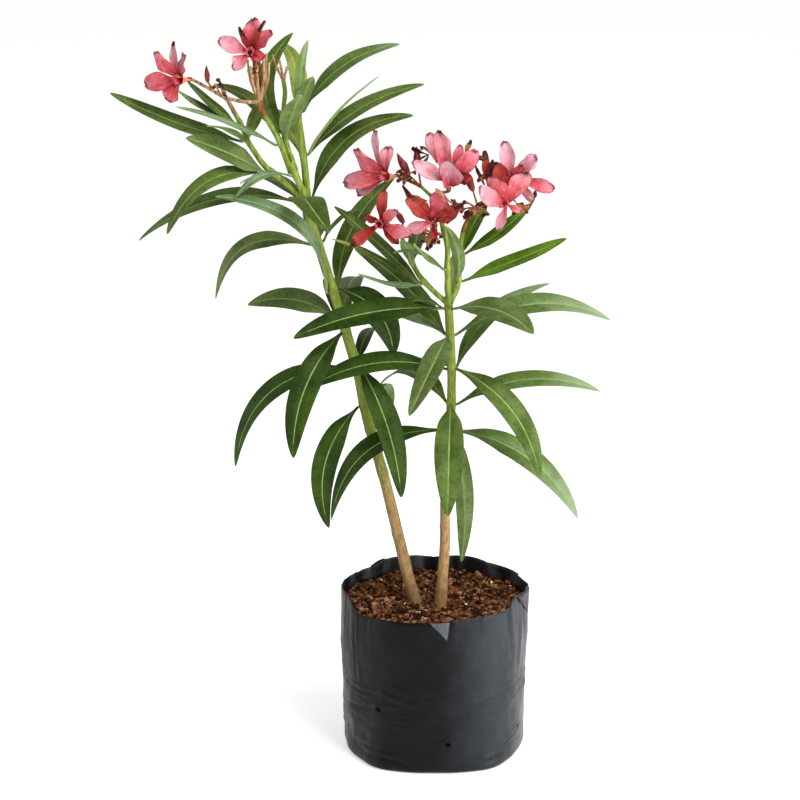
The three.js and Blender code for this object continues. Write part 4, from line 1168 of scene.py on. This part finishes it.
head = Head("low_flower_head", 9)
head.grow(left_twig, [(-33, -10, 457)], 1.9, 1.2, GREEN_STALK)
head.bloom(
    (-46, -33, 471), -18, 10,
    [(12, 66, 33, 7, 4, "red", 0.14), (-129, 85, 30, 8, 4, "red", 0.34),
     (105, 68, 36, 9, 5, "coral", 0.1), (-51, 56, 16, 6, 4, "red", 0.3),
     (54, 56, 27, 7, 5, "coral"), (128, 74, 26, 6, 4, "red", 0.2)],
    path=[(-33, -10, 457)], tone="red",
)
head.bud((-30, -8, 456), (-26, -22, 469), (-34.5, -20, 481), 2.6)
head.wisps((-40, -28, 472), 5, 7, 3)
head.done()

head = Head("main_flower_head", 13)
head.grow(middle_twig, [FORK, BUD_FOOT], 2.3, 1.3, GREEN_STALK)
head.bloom(
    (-41, -20, 508), -40, 8,
    [(-44, 60, 33, 14, 5), (-8, 74, 40, 7, 9, "pale", 0.12), (2, 86, 25, 8, 4, "pale"),
     (-108, 68, 37, 13), (-128, 78, 30, 9, 4, "pale")],
    path=[BUD_FOOT],
)
head.bloom((12, -26, 506), 6, 44, SPOKES, path=[FORK, (5, -13, 492)])
head.blades([
    ((9, -28, 509), (4, -30, 549), 11.2, 3, "coral", 0.18),
    ((14, -26, 511), (20, -22, 535), 6.4, 3, "coral", 0),
    ((15, -26, 509), (33, -24, 531), 12.7, 4, "coral", 0),
    ((24, -23, 527), (28, -22, 539), 3.7, 2, "dry", 0.5),
    ((12, -29, 506), (-20, -35, 522), 10, 5, "pale", 0.06),
    ((12, -31, 503), (15, -44, 524), 16, 4, "pale", 0),
    ((2, -16, 519), (-7, -16, 543), 8.2, 2, "pale", 0),
    ((13, -29, 505), (4, -39, 512), 11, 3, "coral", 0),
    ((16, -26, 505), (27, -34, 513), 10, 3, "red", 0),
])
head.bloom((-4, -40, 477), -4, 14, SPOKES, path=[FORK, (1, -24, 478)])
head.blades([
    ((-10, -40, 478), (-28, -40, 504), 5, 6, "red", 0.5),
    ((-4, -42, 475), (-22, -47, 498), 11, 4, "red", 0.12),
    ((-7, -46, 493), (-22, -49, 498), 2.6, 1, "withered", 0.3),
    ((-3, -42, 476), (6, -43, 500), 12.5, 3, "coral", 0),
    ((-2, -43, 476), (13, -50, 484), 8.4, 3, "red", 0),
    ((2, -44, 478), (22, -53, 493), 7.4, 4, "red", 0.6),
    ((9, -46, 474), (22, -50, 490), 4.7, 3, "coral", 0.3),
    ((-4, -42, 474), (-23, -47, 467.5), 9, 3, "pale", 0.1),
    ((-2, -42, 473), (-2, -44, 459), 5.2, 2, "red", 0.4),
    ((12, -47, 492), (0, -44, 503), 2.6, 1, "dry", 0),
])
head.bud(BUD_FOOT, (-22, -16, 508), (-32, -12, 526), 3.4)
head.bud(BUD_FOOT, (-14.5, -12, 513), (-16, -8, 531), 3.3)
head.bud(BUD_FOOT, (-23, -14, 503), (-30, -10, 511), 3.2)
head.bud(RIGHT_FORK, (31, -20, 496), (23, -22, 517), 3.4)
head.wisps((-24, -22, 509), 8, 8, 4)
head.wisps((18, -44, 490), 7, 8, 4)
head.wisps((-3, -26, 461), 12, 13, 5)
head.wisps((-6, -12, 525), 4, 14, 5)
head.done()

# %% The right head
BUD_FOOT = Vector((42, -8, 485))

head = Head("right_flower_head", 17)
head.grow(right_twig, [(28, -4, 470), RIGHT_FORK, BUD_FOOT], 1.9, 1.3, BROWN_STALK)
head.bloom((56, -36, 489), 2, 18, SPOKES, path=[BUD_FOOT])
head.blades([
    ((57, -37, 489), (74, -39, 516), 12, 3, "coral", 0.12),
    ((56, -38, 490), (46, -43, 513), 12, 4, "coral", 0),
    ((60, -31, 500), (47, -29, 520), 10.4, 2, "red", 0.25),
    ((54, -39, 487), (35, -47, 503), 11, 3, "pale", 0),
    ((58, -38, 488), (52, -42, 467), 6.2, 3, "pale", 0.08),
    ((59, -38, 488), (70, -42, 483), 4.7, 2, "pale", 0),
    ((56, -36, 491), (60, -34, 512), 10, 3, "red", 0),
    ((44, -24, 501), (39, -22, 530), 6.7, 2, "red", 0.55),
    ((45, -26, 504), (46, -24, 523), 5.2, 2, "withered", 0.3),
    ((41, -22, 500), (32, -20, 517), 2.6, 1, "withered", 0.2),
    ((66, -36, 488), (76, -35, 482), 4.5, 1, "dry", 0.2),
    ((78, -30, 488), (83, -29, 497), 3.0, 1, "withered", 0.2),
])
head.bloom((66, -22, 508), 34, 26, SPOKES, path=[BUD_FOOT, (54, -4, 496)])
head.blades([
    ((63, -24, 507), (55, -24, 538), 9.2, 3, "pale", 0),
    ((65, -24, 509), (83, -29, 526), 9.4, 3, "pale", 0),
    ((69, -24, 506), (98, -27, 500), 8.4, 3, "coral", 0),
    ((67, -26, 504), (81, -31, 490), 6.4, 2, "pale", 0),
    ((64, -25, 507), (72, -32, 518), 8, 3, "coral", 0),
    ((62, -24, 507), (50, -26, 514), 8, 3, "red", 0),
])
head.bud(BUD_FOOT, (45, -8, 503), (39, -6, 526), 3.2)
head.wisps((46, -15, 512), 9, 15, 5)
head.wisps((68, -26, 486), 5, 9, 5)
head.wisps((34, -12, 480), 10, 13, 6)
head.done()

# %% [markdown]
# ## The grow bag
# The bag is black polythene film. It could be a plain tube, but its character is in the
# pleats that hang from the rim, the creases round the waist and foot, and the small drain
# holes. The wall is one skin that goes up outside, over the rim and down inside.

# %% Finishes of the film


def film_finish():
    """Black film, with painted light in its colour: a slate reflection towards the right, the
    palest light at its right edge, and a paler strip near its left edge.
    """
    f = Finish("black_film", 0.36, Specular_IOR_Level=0.13)
    wrinkle = f.noise(46, 6, stretch=(1, 1, 0.6), roughness=0.6)
    fine = f.noise(340, 4)
    dust_and_sheen = f.noise(26, 5)
    across, height = f.axis("X"), f.axis("Z")
    waver = f.plus(across, f.times(f.work("SUBTRACT", dust_and_sheen), 0.03))
    colour = f.blend(f.span(dust_and_sheen, 0.4, 0.75), shade(6, 6, 7), shade(15, 15, 16))
    # painted reflection of the right lamp: slate over the right half, fullest high up
    right_painted_reflection = f.times(f.span(waver, 0.0, 0.055), f.span(height, 0.02, 0.13, 0.72, 1.0))
    colour = f.blend(right_painted_reflection, colour, shade(48, 53, 57))
    # painted light: the right edge is palest
    colour = f.blend(f.span(waver, 0.062, 0.082), colour, shade(80, 79, 82))
    # painted light: a paler strip near the left edge, where the left lamp falls
    left_painted_light = f.times(f.span(waver, -0.064, -0.076), f.span(height, 0.05, 0.11))
    f.colour(f.blend(left_painted_light, colour, shade(44, 43, 40)))
    f.rough(f.span(dust_and_sheen, 0.3, 0.7, 0.3, 0.42))
    waist = f.times(f.span(height, 0.02, 0.045), f.span(height, 0.062, 0.09, 1.0, 0.0))
    level = f.noise(46, 5, stretch=(0.5, 0.5, 2.6), roughness=0.6)
    folds = f.times(level, f.times(waist, 1.6))
    f.bump(f.plus(f.plus(wrinkle, f.times(fine, 0.12)), folds), 0.55, 0.0026)
    return f.material


def film_inside_finish():
    # painted light: the inside of the film is lighter than the outside, with pale streaks of
    # painted sheen
    f = Finish("film_inside", 0.5, Specular_IOR_Level=0.2)
    streaks = f.noise(70, 5, stretch=(1, 1, 0.3))
    f.colour(f.blend(f.span(streaks, 0.42, 0.72), shade(17, 17, 17), shade(70, 72, 74)))
    f.bump(streaks, 0.5, 0.002)
    return f.material


FILM, FILM_INSIDE = film_finish(), film_inside_finish()
print("film finishes:", FILM.name, FILM_INSIDE.name)

# %% Corners and levels of the bag
BAG_RADIUS, BAG_FOOT_RADIUS, BAG_HEIGHT, BAG_CORNER = 81, 78.5, 144, 5
# corners that the film makes where it is packed and folded: angle in degrees, and radius
FOOT_CORNERS = [
    (7.5, 80), (37.5, 80), (67.5, 83), (105, 80), (142.5, 84), (172.5, 79), (202.5, 80),
    (232.5, 86), (255, 80.5), (285, 80.5), (307.5, 86.5), (330, 80), (352.5, 78.5)]
RIM_CORNERS = [
    (7.5, 82), (30, 82.5), (60, 82), (90, 80), (120, 82), (157.5, 82.5), (180, 82),
    (210, 80), (240, 81), (277.5, 80.5), (307.5, 80.5), (330, 80.5), (352.5, 82.5)]
# how high the rim stands: angle in degrees, and height
RIM_LEVELS = [
    (15, 142), (30, 143.5), (52.5, 143), (67.5, 145), (90, 143.5), (105, 145.5), (120, 144.5),
    (135, 141), (157.5, 141), (187.5, 145), (203, 144), (210.5, 135.5), (218, 134), (243, 136.5),
    (264, 136.5), (277, 138), (292.5, 139.5), (315, 139.6), (323, 139.5), (328, 146.2),
    (337.5, 146), (352.5, 146.5)]


def between(table, angle):
    """The rows of a table on either side of an angle, the degrees between and so far."""
    turn = math.degrees(angle) % 360
    after = next((row for row in table if row[0] > turn), table[0])
    before = table[table.index(after) - 1]
    return before, after, (after[0] - before[0]) % 360, (turn - before[0]) % 360


def side_radius(corners, middle):
    """How far out the side between two corners lies, with the corners rounded off."""
    total = 0
    for turn in (-7, -3.5, 0, 3.5, 7):
        before, after, span, part = between(corners, middle + math.radians(turn))
        whole, first = math.radians(span), math.radians(part)
        reach = before[1] * math.sin(first) + after[1] * math.sin(whole - first)
        total += before[1] * after[1] * math.sin(whole) / reach
    return total / 5


def bag_radius(angle, height):
    share = height / BAG_HEIGHT
    plain = BAG_FOOT_RADIUS + (BAG_RADIUS - BAG_FOOT_RADIUS) * share
    folds = 0.6 * math.cos(5 * angle + 0.8) + 0.4 * math.cos(9 * angle + 2.1)
    sag = 0.5 * math.cos(2 * angle + 1.3) * math.sin(math.pi * share)
    foot, rim = (1 - share) ** 4, share**5
    corners = foot * side_radius(FOOT_CORNERS, angle) + rim * side_radius(RIM_CORNERS, angle)
    return corners + (1 - foot - rim) * plain + 0.6 * share**3 * folds + sag


def rim_height(angle):
    before, after, span, part = between(RIM_LEVELS, angle)
    nicks = 0.5 * noise.noise(Vector((math.cos(angle), math.sin(angle), 0.3)) * 5)
    return before[1] + (after[1] - before[1]) * ease(part, 0, span) + nicks


print("rim at the front:", round(rim_height(math.radians(270)), 1), "mm high")

# %% Pleats and creases of the film
# pleats that hang from the rim: angle in degrees, depth, and how far down they reach
PLEATS = [
    (196, 1.2, 110), (212, 2.0, 90), (221, 0.8, 40), (262, 1.0, 26), (281, 1.4, 30),
    (297, 0.8, 26), (324, 1.8, 60), (334, 1.3, 80), (343, 1.4, 60), (351, 1.0, 70),
    (20, 0.9, 60), (52, 0.8, 40), (88, 1.0, 70), (119, 0.8, 40), (148, 0.9, 60)]
# creases that run round: height, slope in mm per radian, middle angle, reach, depth
CREASES = [
    (66, -7, 220, 34, 1.7), (52, 4, 222, 26, 1.4), (60, -2, 236, 16, 1.0),
    (60.5, 0, 300, 16, 1.6), (56, 1, 298, 20, 1.2), (65, 6, 334, 26, 1.9),
    (60, 8, 330, 20, 1.4), (71, 3, 338, 16, 1.2), (9, 4, 305, 24, 2.4),
    (14, 9, 318, 22, 1.9), (20, 12, 322, 16, 1.3), (28, 5, 285, 22, 0.9),
    (12, -10, 232, 24, 1.8), (18, -6, 224, 18, 1.2), (40, -8, 205, 22, 1.2),
    (86, 6, 30, 40, 0.9), (52, -5, 85, 45, 1.2), (34, 6, 140, 40, 1.2),
    (20, -8, 60, 30, 1.1), (70, 7, 120, 26, 1.0), (14, 9, 170, 26, 1.1)]
# drain holes: angle in degrees, and height
HOLES = [(233, 54), (278, 27.5), (335, 27), (346, 62.5), (20, 40), (66, 62), (112, 30), (158, 56)]


def degrees_from(turn, at):
    return (turn - at + 180) % 360 - 180


def film_relief(angle, height):
    """How far the film stands out from the plain bag, with its folds and lifted hole rims."""
    turn = math.degrees(angle) % 360
    relief = 0.0
    for at, depth, reach in PLEATS:
        fade = ease(height, BAG_HEIGHT - reach, BAG_HEIGHT - reach * 0.2)
        bend = degrees_from(turn, at) - 2.0 * math.sin(height * 0.05 + at)
        relief -= depth * fade * (ridge(bend, 1.4) - 0.6 * ridge(bend - 2.6, 1.6))
    for level, slope, at, reach, depth in CREASES:
        gap = degrees_from(turn, at)
        line = level + slope * math.radians(gap) + 1.5 * math.sin(gap * 0.13)
        fade = ridge(gap, reach * 0.7)
        relief -= depth * fade * (ridge(height - line, 1.4) - 0.7 * ridge(height - line - 3, 1.8))
    for at, level in HOLES:
        away = math.hypot(degrees_from(turn, at) * 1.4, height - level)
        relief += 0.9 * ridge(away - 4.2, 1.6) - 0.8 * ridge(away, 2.4)
    spot = Vector((math.cos(angle), math.sin(angle), height / 110)) * 2.2
    relief += 1.3 * noise.noise(spot * 1.3) * math.sin(math.pi * min(1, height / 30 + 0.1) / 2)
    relief += 0.5 * noise.noise(spot * 4)
    return relief * ease(height, 0, 8)


print("pleats", len(PLEATS), "creases", len(CREASES))

# %% Build the bag
FILM_WALL = 0.9
COLUMNS = 320
WALL_SHARES = [i / 64 for i in range(1, 64)]


def bag_point(radius, angle, height):
    return Vector((radius * math.cos(angle), radius * math.sin(angle), height))


def bag_ring(inset, height_at, relief=True):
    """A ring of the film. inset is how far in it lies, height_at gives its height."""
    ring = []
    for angle in turns(COLUMNS):
        height = height_at(angle)
        radius = bag_radius(angle, min(height, BAG_HEIGHT)) - inset
        if relief:
            radius += film_relief(angle, height)
        ring.append(bag_point(radius, angle, height))
    return ring


def wall_ring(inset, share):
    """A ring of the wall: share 0 is at the foot's corner and 1 just below the rim."""
    return bag_ring(
        inset, lambda angle: BAG_CORNER + (rim_height(angle) - 1 - BAG_CORNER) * share)


def under_rim(angle):
    return rim_height(angle) - 0.3


outside = [bag_ring(80 - radius, lambda angle: 0, False) for radius in (25, 50, 68)]
for turn in (15, 40, 65, 90):
    inset = BAG_CORNER * (1 - math.sin(math.radians(turn)))
    level = BAG_CORNER * (1 - math.cos(math.radians(turn)))
    outside.append(bag_ring(inset, lambda angle: level))
outside += [wall_ring(0, share) for share in WALL_SHARES]
outside += [bag_ring(0.1, under_rim), bag_ring(FILM_WALL / 2, rim_height)]
inside = [bag_ring(FILM_WALL - 0.1, under_rim)]
inside += [wall_ring(FILM_WALL, share) for share in WALL_SHARES[::-1]]
inside.append(bag_ring(BAG_CORNER + 1, lambda angle: FILM_WALL, False))
rings = close_ends([*outside, *inside], foot=Vector(), tip=UP * FILM_WALL)
bm = bmesh.new()
skin(bm, rings, slot=lambda row, column: int(row > len(outside)))
bag = finish_piece(bm, "bag_film", [FILM, FILM_INSIDE], ["grow_bag"])
print("bag faces", len(bag.data.polygons))

# %% [markdown]
# ## Drain holes and folded flaps
# Nursery bags are punched low down so that water can leave. A hole could be painted, but a
# real one shows the thickness of the film, so a Boolean cuts them. At two places the rim is
# folded over and shows as a small paler flap.

# %% Punch the drain holes
bm = bmesh.new()
for turn, height in HOLES:
    out = bag_point(1, math.radians(turn), 0)
    place = out * 80 + UP * height
    turned = out.to_track_quat("Z", "Y").to_matrix().to_4x4()
    bmesh.ops.create_cone(
        bm, cap_ends=True, segments=14, radius1=2.2, radius2=2.4, depth=14,
        matrix=Matrix.Translation(place) @ turned @ Matrix.Diagonal((1, 0.8, 1, 1)),
    )
bmesh.ops.scale(bm, vec=(MM, MM, MM), verts=bm.verts[:])
cutter = put("hole_punch", mesh_from(bm, "hole_punch"))
cut = bag.modifiers.new("drain_holes", "BOOLEAN")
cut.object = cutter
cut.operation = "DIFFERENCE"
cut.solver = "MANIFOLD"
depsgraph = bpy.context.evaluated_depsgraph_get()
punched = bpy.data.meshes.new_from_object(bag.evaluated_get(depsgraph))
bag.modifiers.clear()
bag.data = punched
bpy.data.objects.remove(cutter)
for polygon in punched.polygons:
    polygon.use_smooth = True
print("holes", len(HOLES), "bag faces", len(punched.polygons))

# %% Fold the flaps at the rim
FLAP_ROWS, FLAP_POINTS = 9, 8


def flap(bm, turn, spread, drop, lean):
    """A folded triangle of film: wide at the rim, with its point hanging lower."""
    low, high = math.radians(turn - spread / 2), math.radians(turn + spread / 2)
    rings = []
    for row in range(FLAP_ROWS):
        share = row / (FLAP_ROWS - 1)
        left = low + (high - low) * lean * share
        right = high - (high - low) * (1 - lean) * share
        ring = []
        for side in (1, -1):
            for k in range(FLAP_POINTS):
                part = k / (FLAP_POINTS - 1)
                part = part if side > 0 else 1 - part
                angle = left + (right - left) * part
                height = rim_height(angle) + 0.4 - drop * share
                bulge = 0.9 * math.sin(math.pi * part) * (1 - share) + 0.25
                radius = bag_radius(angle, BAG_HEIGHT - 2) + 0.5 + bulge + 0.2 * side
                ring.append(bag_point(radius, angle, height))
        rings.append(ring)
    skin(bm, close_ends(rings))


FLAP_FILM = plain_finish("folded_film", (58, 63, 67), (92, 98, 103), 0.45)
# painted shade: this dark finish and the dark sheet below stand for the shadow of a fold at the
# right of the rim
FOLD_SHADOW = plain_finish("painted_fold_shadow", (48, 46, 48), (76, 73, 75), 0.45)
FLAPS = {
    "rim_flaps": (FLAP_FILM, [(273, 12, 16, 0.85), (128, 12, 14, 0.6)]),
    # a thin dark sheet on the film, painted as the shadow of a fold
    "fold_shadow_sheet": (FOLD_SHADOW, [(342, 20, 22, 0.8)]),
}
for name, (material, folds) in FLAPS.items():
    bm = bmesh.new()
    for fold in folds:
        flap(bm, *fold)
    finish_piece(bm, name, [material])
print("flap pieces:", list(FLAPS))

# %% [markdown]
# ## The potting mix
# The filling is coarse coco fibre: reddish brown lumps, dark gaps between them, short husk
# strands and white grains of perlite. A bumpy surface gives the ground of it, and some
# thousands of small lumps are laid on top as one joined mesh made from arrays.

# %% Build the body of the mix
SOIL_LEVEL = 131
SOIL_COLUMNS, SOIL_STEPS = 200, 50
SOIL_GAP = 2.2  # between the mix and the film


def soil_finish(name, dark, light, roughness=0.95):
    f = Finish(name, roughness, Specular_IOR_Level=0.06)
    lumps = f.noise(260, 6, roughness=0.7)
    f.colour(f.blend(f.span(lumps, 0.35, 0.68), shade(*dark), shade(*light)))
    f.bump(f.plus(lumps, f.noise(900)), 0.9, 0.0012)
    return f.material


def soil_height(x, y):
    """The height of the surface. It lies flat round the feet of the stems."""
    bumps = math.sin(x * 0.19 + 1) * math.cos(y * 0.23) + 0.6 * math.sin(x * 0.41 - y * 0.37 + 2)
    nearest = min(math.hypot(x + 16, y + 8), math.hypot(x - 5, y + 18))
    coarse = noise.noise(Vector((x * 0.12, y * 0.12, 3))) * 2.4
    fine = noise.noise(Vector((x * 0.5, y * 0.5, 7))) * 1.3
    return SOIL_LEVEL + ease(nearest, 4, 20) * (1.6 * bumps + coarse) + fine - 0.6


angles = turns(SOIL_COLUMNS)
rings = []
for height in (2, 8, 26, 44, 62, 84, 105, 124):
    inset = SOIL_GAP + (6 if height == 2 else 0)
    rings.append([bag_point(bag_radius(a, height) - inset, a, height) for a in angles])
edge = [bag_radius(a, SOIL_LEVEL) + film_relief(a, SOIL_LEVEL) - SOIL_GAP for a in angles]
for step in range(SOIL_STEPS):
    share = 1 - step / SOIL_STEPS
    ring = []
    for a, reach in zip(angles, edge):
        x, y = reach * share * math.cos(a), reach * share * math.sin(a)
        ring.append(Vector((x, y, soil_height(x, y) + 1.2 * ease(share, 0.9, 1))))
    rings.append(ring)
bm = bmesh.new()
skin(bm, close_ends(rings, foot=UP * 2, tip=UP * soil_height(0, 0)))
SOIL = soil_finish("coco_mix", (20, 11, 5), (60, 36, 20))
body = finish_piece(bm, "mix_body", [SOIL], ["potting_mix"])
print("faces of the body of the mix:", len(body.data.polygons))

# %% Shapes to scatter
LUMP_FINISHES = [
    soil_finish("husk_red", (78, 44, 24), (128, 80, 48)),
    soil_finish("husk_dark", (30, 17, 8), (64, 38, 22)),
    soil_finish("husk_tan", (118, 82, 54), (172, 130, 94)),
    soil_finish("perlite", (214, 198, 168), (248, 238, 216), 0.85),
]
RED, DARK, TAN, WHITE_GRAIN = range(4)  # slots of the lumps


def as_arrays(bm):
    """The points and faces of a bmesh, which is freed."""
    points = np.array([v.co[:] for v in bm.verts])
    faces = np.array([[v.index for v in f.verts] for f in bm.faces])
    bm.free()
    return points, faces


bm = bmesh.new()
bmesh.ops.create_icosphere(bm, subdivisions=1, radius=1)
LUMP = as_arrays(bm)
bm = bmesh.new()
bmesh.ops.create_cone(bm, cap_ends=True, segments=4, radius1=1, radius2=0.7, depth=2)
bmesh.ops.triangulate(bm, faces=bm.faces[:])
bmesh.ops.rotate(bm, matrix=Matrix.Rotation(math.pi / 2, 3, "Y"), verts=bm.verts[:])
STRAND = as_arrays(bm)
print("faces of a lump:", len(LUMP[1]), "and of a strand:", len(STRAND[1]))

# %% Scatter lumps, strands and perlite


def sizes(low, high, *stretch):
    """A rule that draws the size of a lump on each axis."""
    return lambda: [rng.uniform(low, high) * part for part in stretch]


def scatter(base, count, size_of, slots, reach=76.0, middle=(0, 0), inner=0.0):
    """count copies of a base shape on top of the mix, as one set of points and faces."""
    points, faces = base
    all_points, all_faces, kinds = [], [], []
    for k in range(count):
        radius = inner + (reach - inner) * math.sqrt(rng.random())
        angle = rng.uniform(0, 2 * math.pi)
        x, y = middle[0] + radius * math.cos(angle), middle[1] + radius * math.sin(angle)
        size = size_of()
        tumble = [rng.uniform(-0.6, 0.6), rng.uniform(-0.6, 0.6), rng.uniform(0, 6.28)]
        turn = np.array(Euler(tumble).to_matrix())
        jitter = 1 + np.array([[rng.uniform(-0.25, 0.25) for _ in range(3)] for _ in points])
        placed = (points * jitter * np.array(size)) @ turn.T
        lift = min(size) * rng.uniform(0.1, 0.7)
        all_points.append(placed + np.array((x, y, soil_height(x, y) + lift)))
        all_faces.append(faces + k * len(points))
        kinds += [rng.choice(slots) if len(slots) > 1 else slots[0]] * len(faces)
    return np.concatenate(all_points), np.concatenate(all_faces), kinds


rng = random.Random(23)
MIXED = (RED, RED, DARK, TAN)
parts = [
    scatter(LUMP, 3400, sizes(0.7, 2.3, 1.3, 1.0, 0.8), (RED,) * 3 + (DARK,) * 3 + (TAN,)),
    scatter(LUMP, 420, sizes(1.8, 3.6, 1.3, 0.9, 0.7), MIXED),
    scatter(STRAND, 520, lambda: [rng.uniform(1.8, 5.5), 0.35, 0.35], (RED, TAN, TAN, DARK), 74),
    scatter(LUMP, 44, sizes(0.6, 1.9, 1, 0.9, 0.9), (WHITE_GRAIN,)),
]
for limb in (left_stem, right_stem):
    inner = limb.radius(0) - 0.8
    around = (inner + 3.5, limb.at(0).xy, inner)
    parts.append(scatter(LUMP, 46, sizes(0.9, 2.2, 1.2, 1, 1), MIXED, *around))
starts = np.cumsum([0] + [len(points) for points, _, _ in parts])
points = np.concatenate([points for points, _, _ in parts])
faces = np.concatenate([faces + start for (_, faces, _), start in zip(parts, starts)])
mesh = bpy.data.meshes.new("mix_lumps")
mesh.from_pydata((points * MM).tolist(), [], faces.tolist())
mesh.polygons.foreach_set("material_index", [kind for _, _, kinds in parts for kind in kinds])
ride_mesh(mesh, "mix_lumps", LUMP_FINISHES)
print("mix faces", len(mesh.polygons))

# %% [markdown]
# ## The floor
# A wide plain floor takes the soft shadow of the bag. It is part of the studio, so it is
# marked as stage and doesn't belong to the plant.

# %% Lay the floor
FLOOR_FINISH = Finish(
    "pale_floor", 0.6, Base_Color=(0.86, 0.86, 0.85, 1),
    Emission_Color=WHITE, Emission_Strength=0.42,
)
bm = bmesh.new()
bmesh.ops.create_grid(bm, x_segments=2, y_segments=2, size=12)
floor = put("floor", mesh_from(bm, "floor"))
floor.data.materials.append(FLOOR_FINISH.material)
floor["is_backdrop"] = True
print("floor:", [round(side) for side in floor.dimensions], "m")

# %% [markdown]
# ## Measure the dressed plant
# The dressed plant has to stay as big as its frame. Its box is measured and printed, with the
# count of its triangles, and kept beside the box of the frame.

# %% Measure the sizes
bpy.context.view_layer.update()
dressed_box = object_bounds()
sizes = {
    "cad": [list(corner) for corner in cad_box],
    "visual": [list(corner) for corner in dressed_box],
}
print("dressed box", [round(v, 4) for corner in dressed_box for v in corner])
triangles = sum(
    len(p.vertices) - 2 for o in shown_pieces() if o.type == "MESH" for p in o.data.polygons
)
print("triangles", triangles)
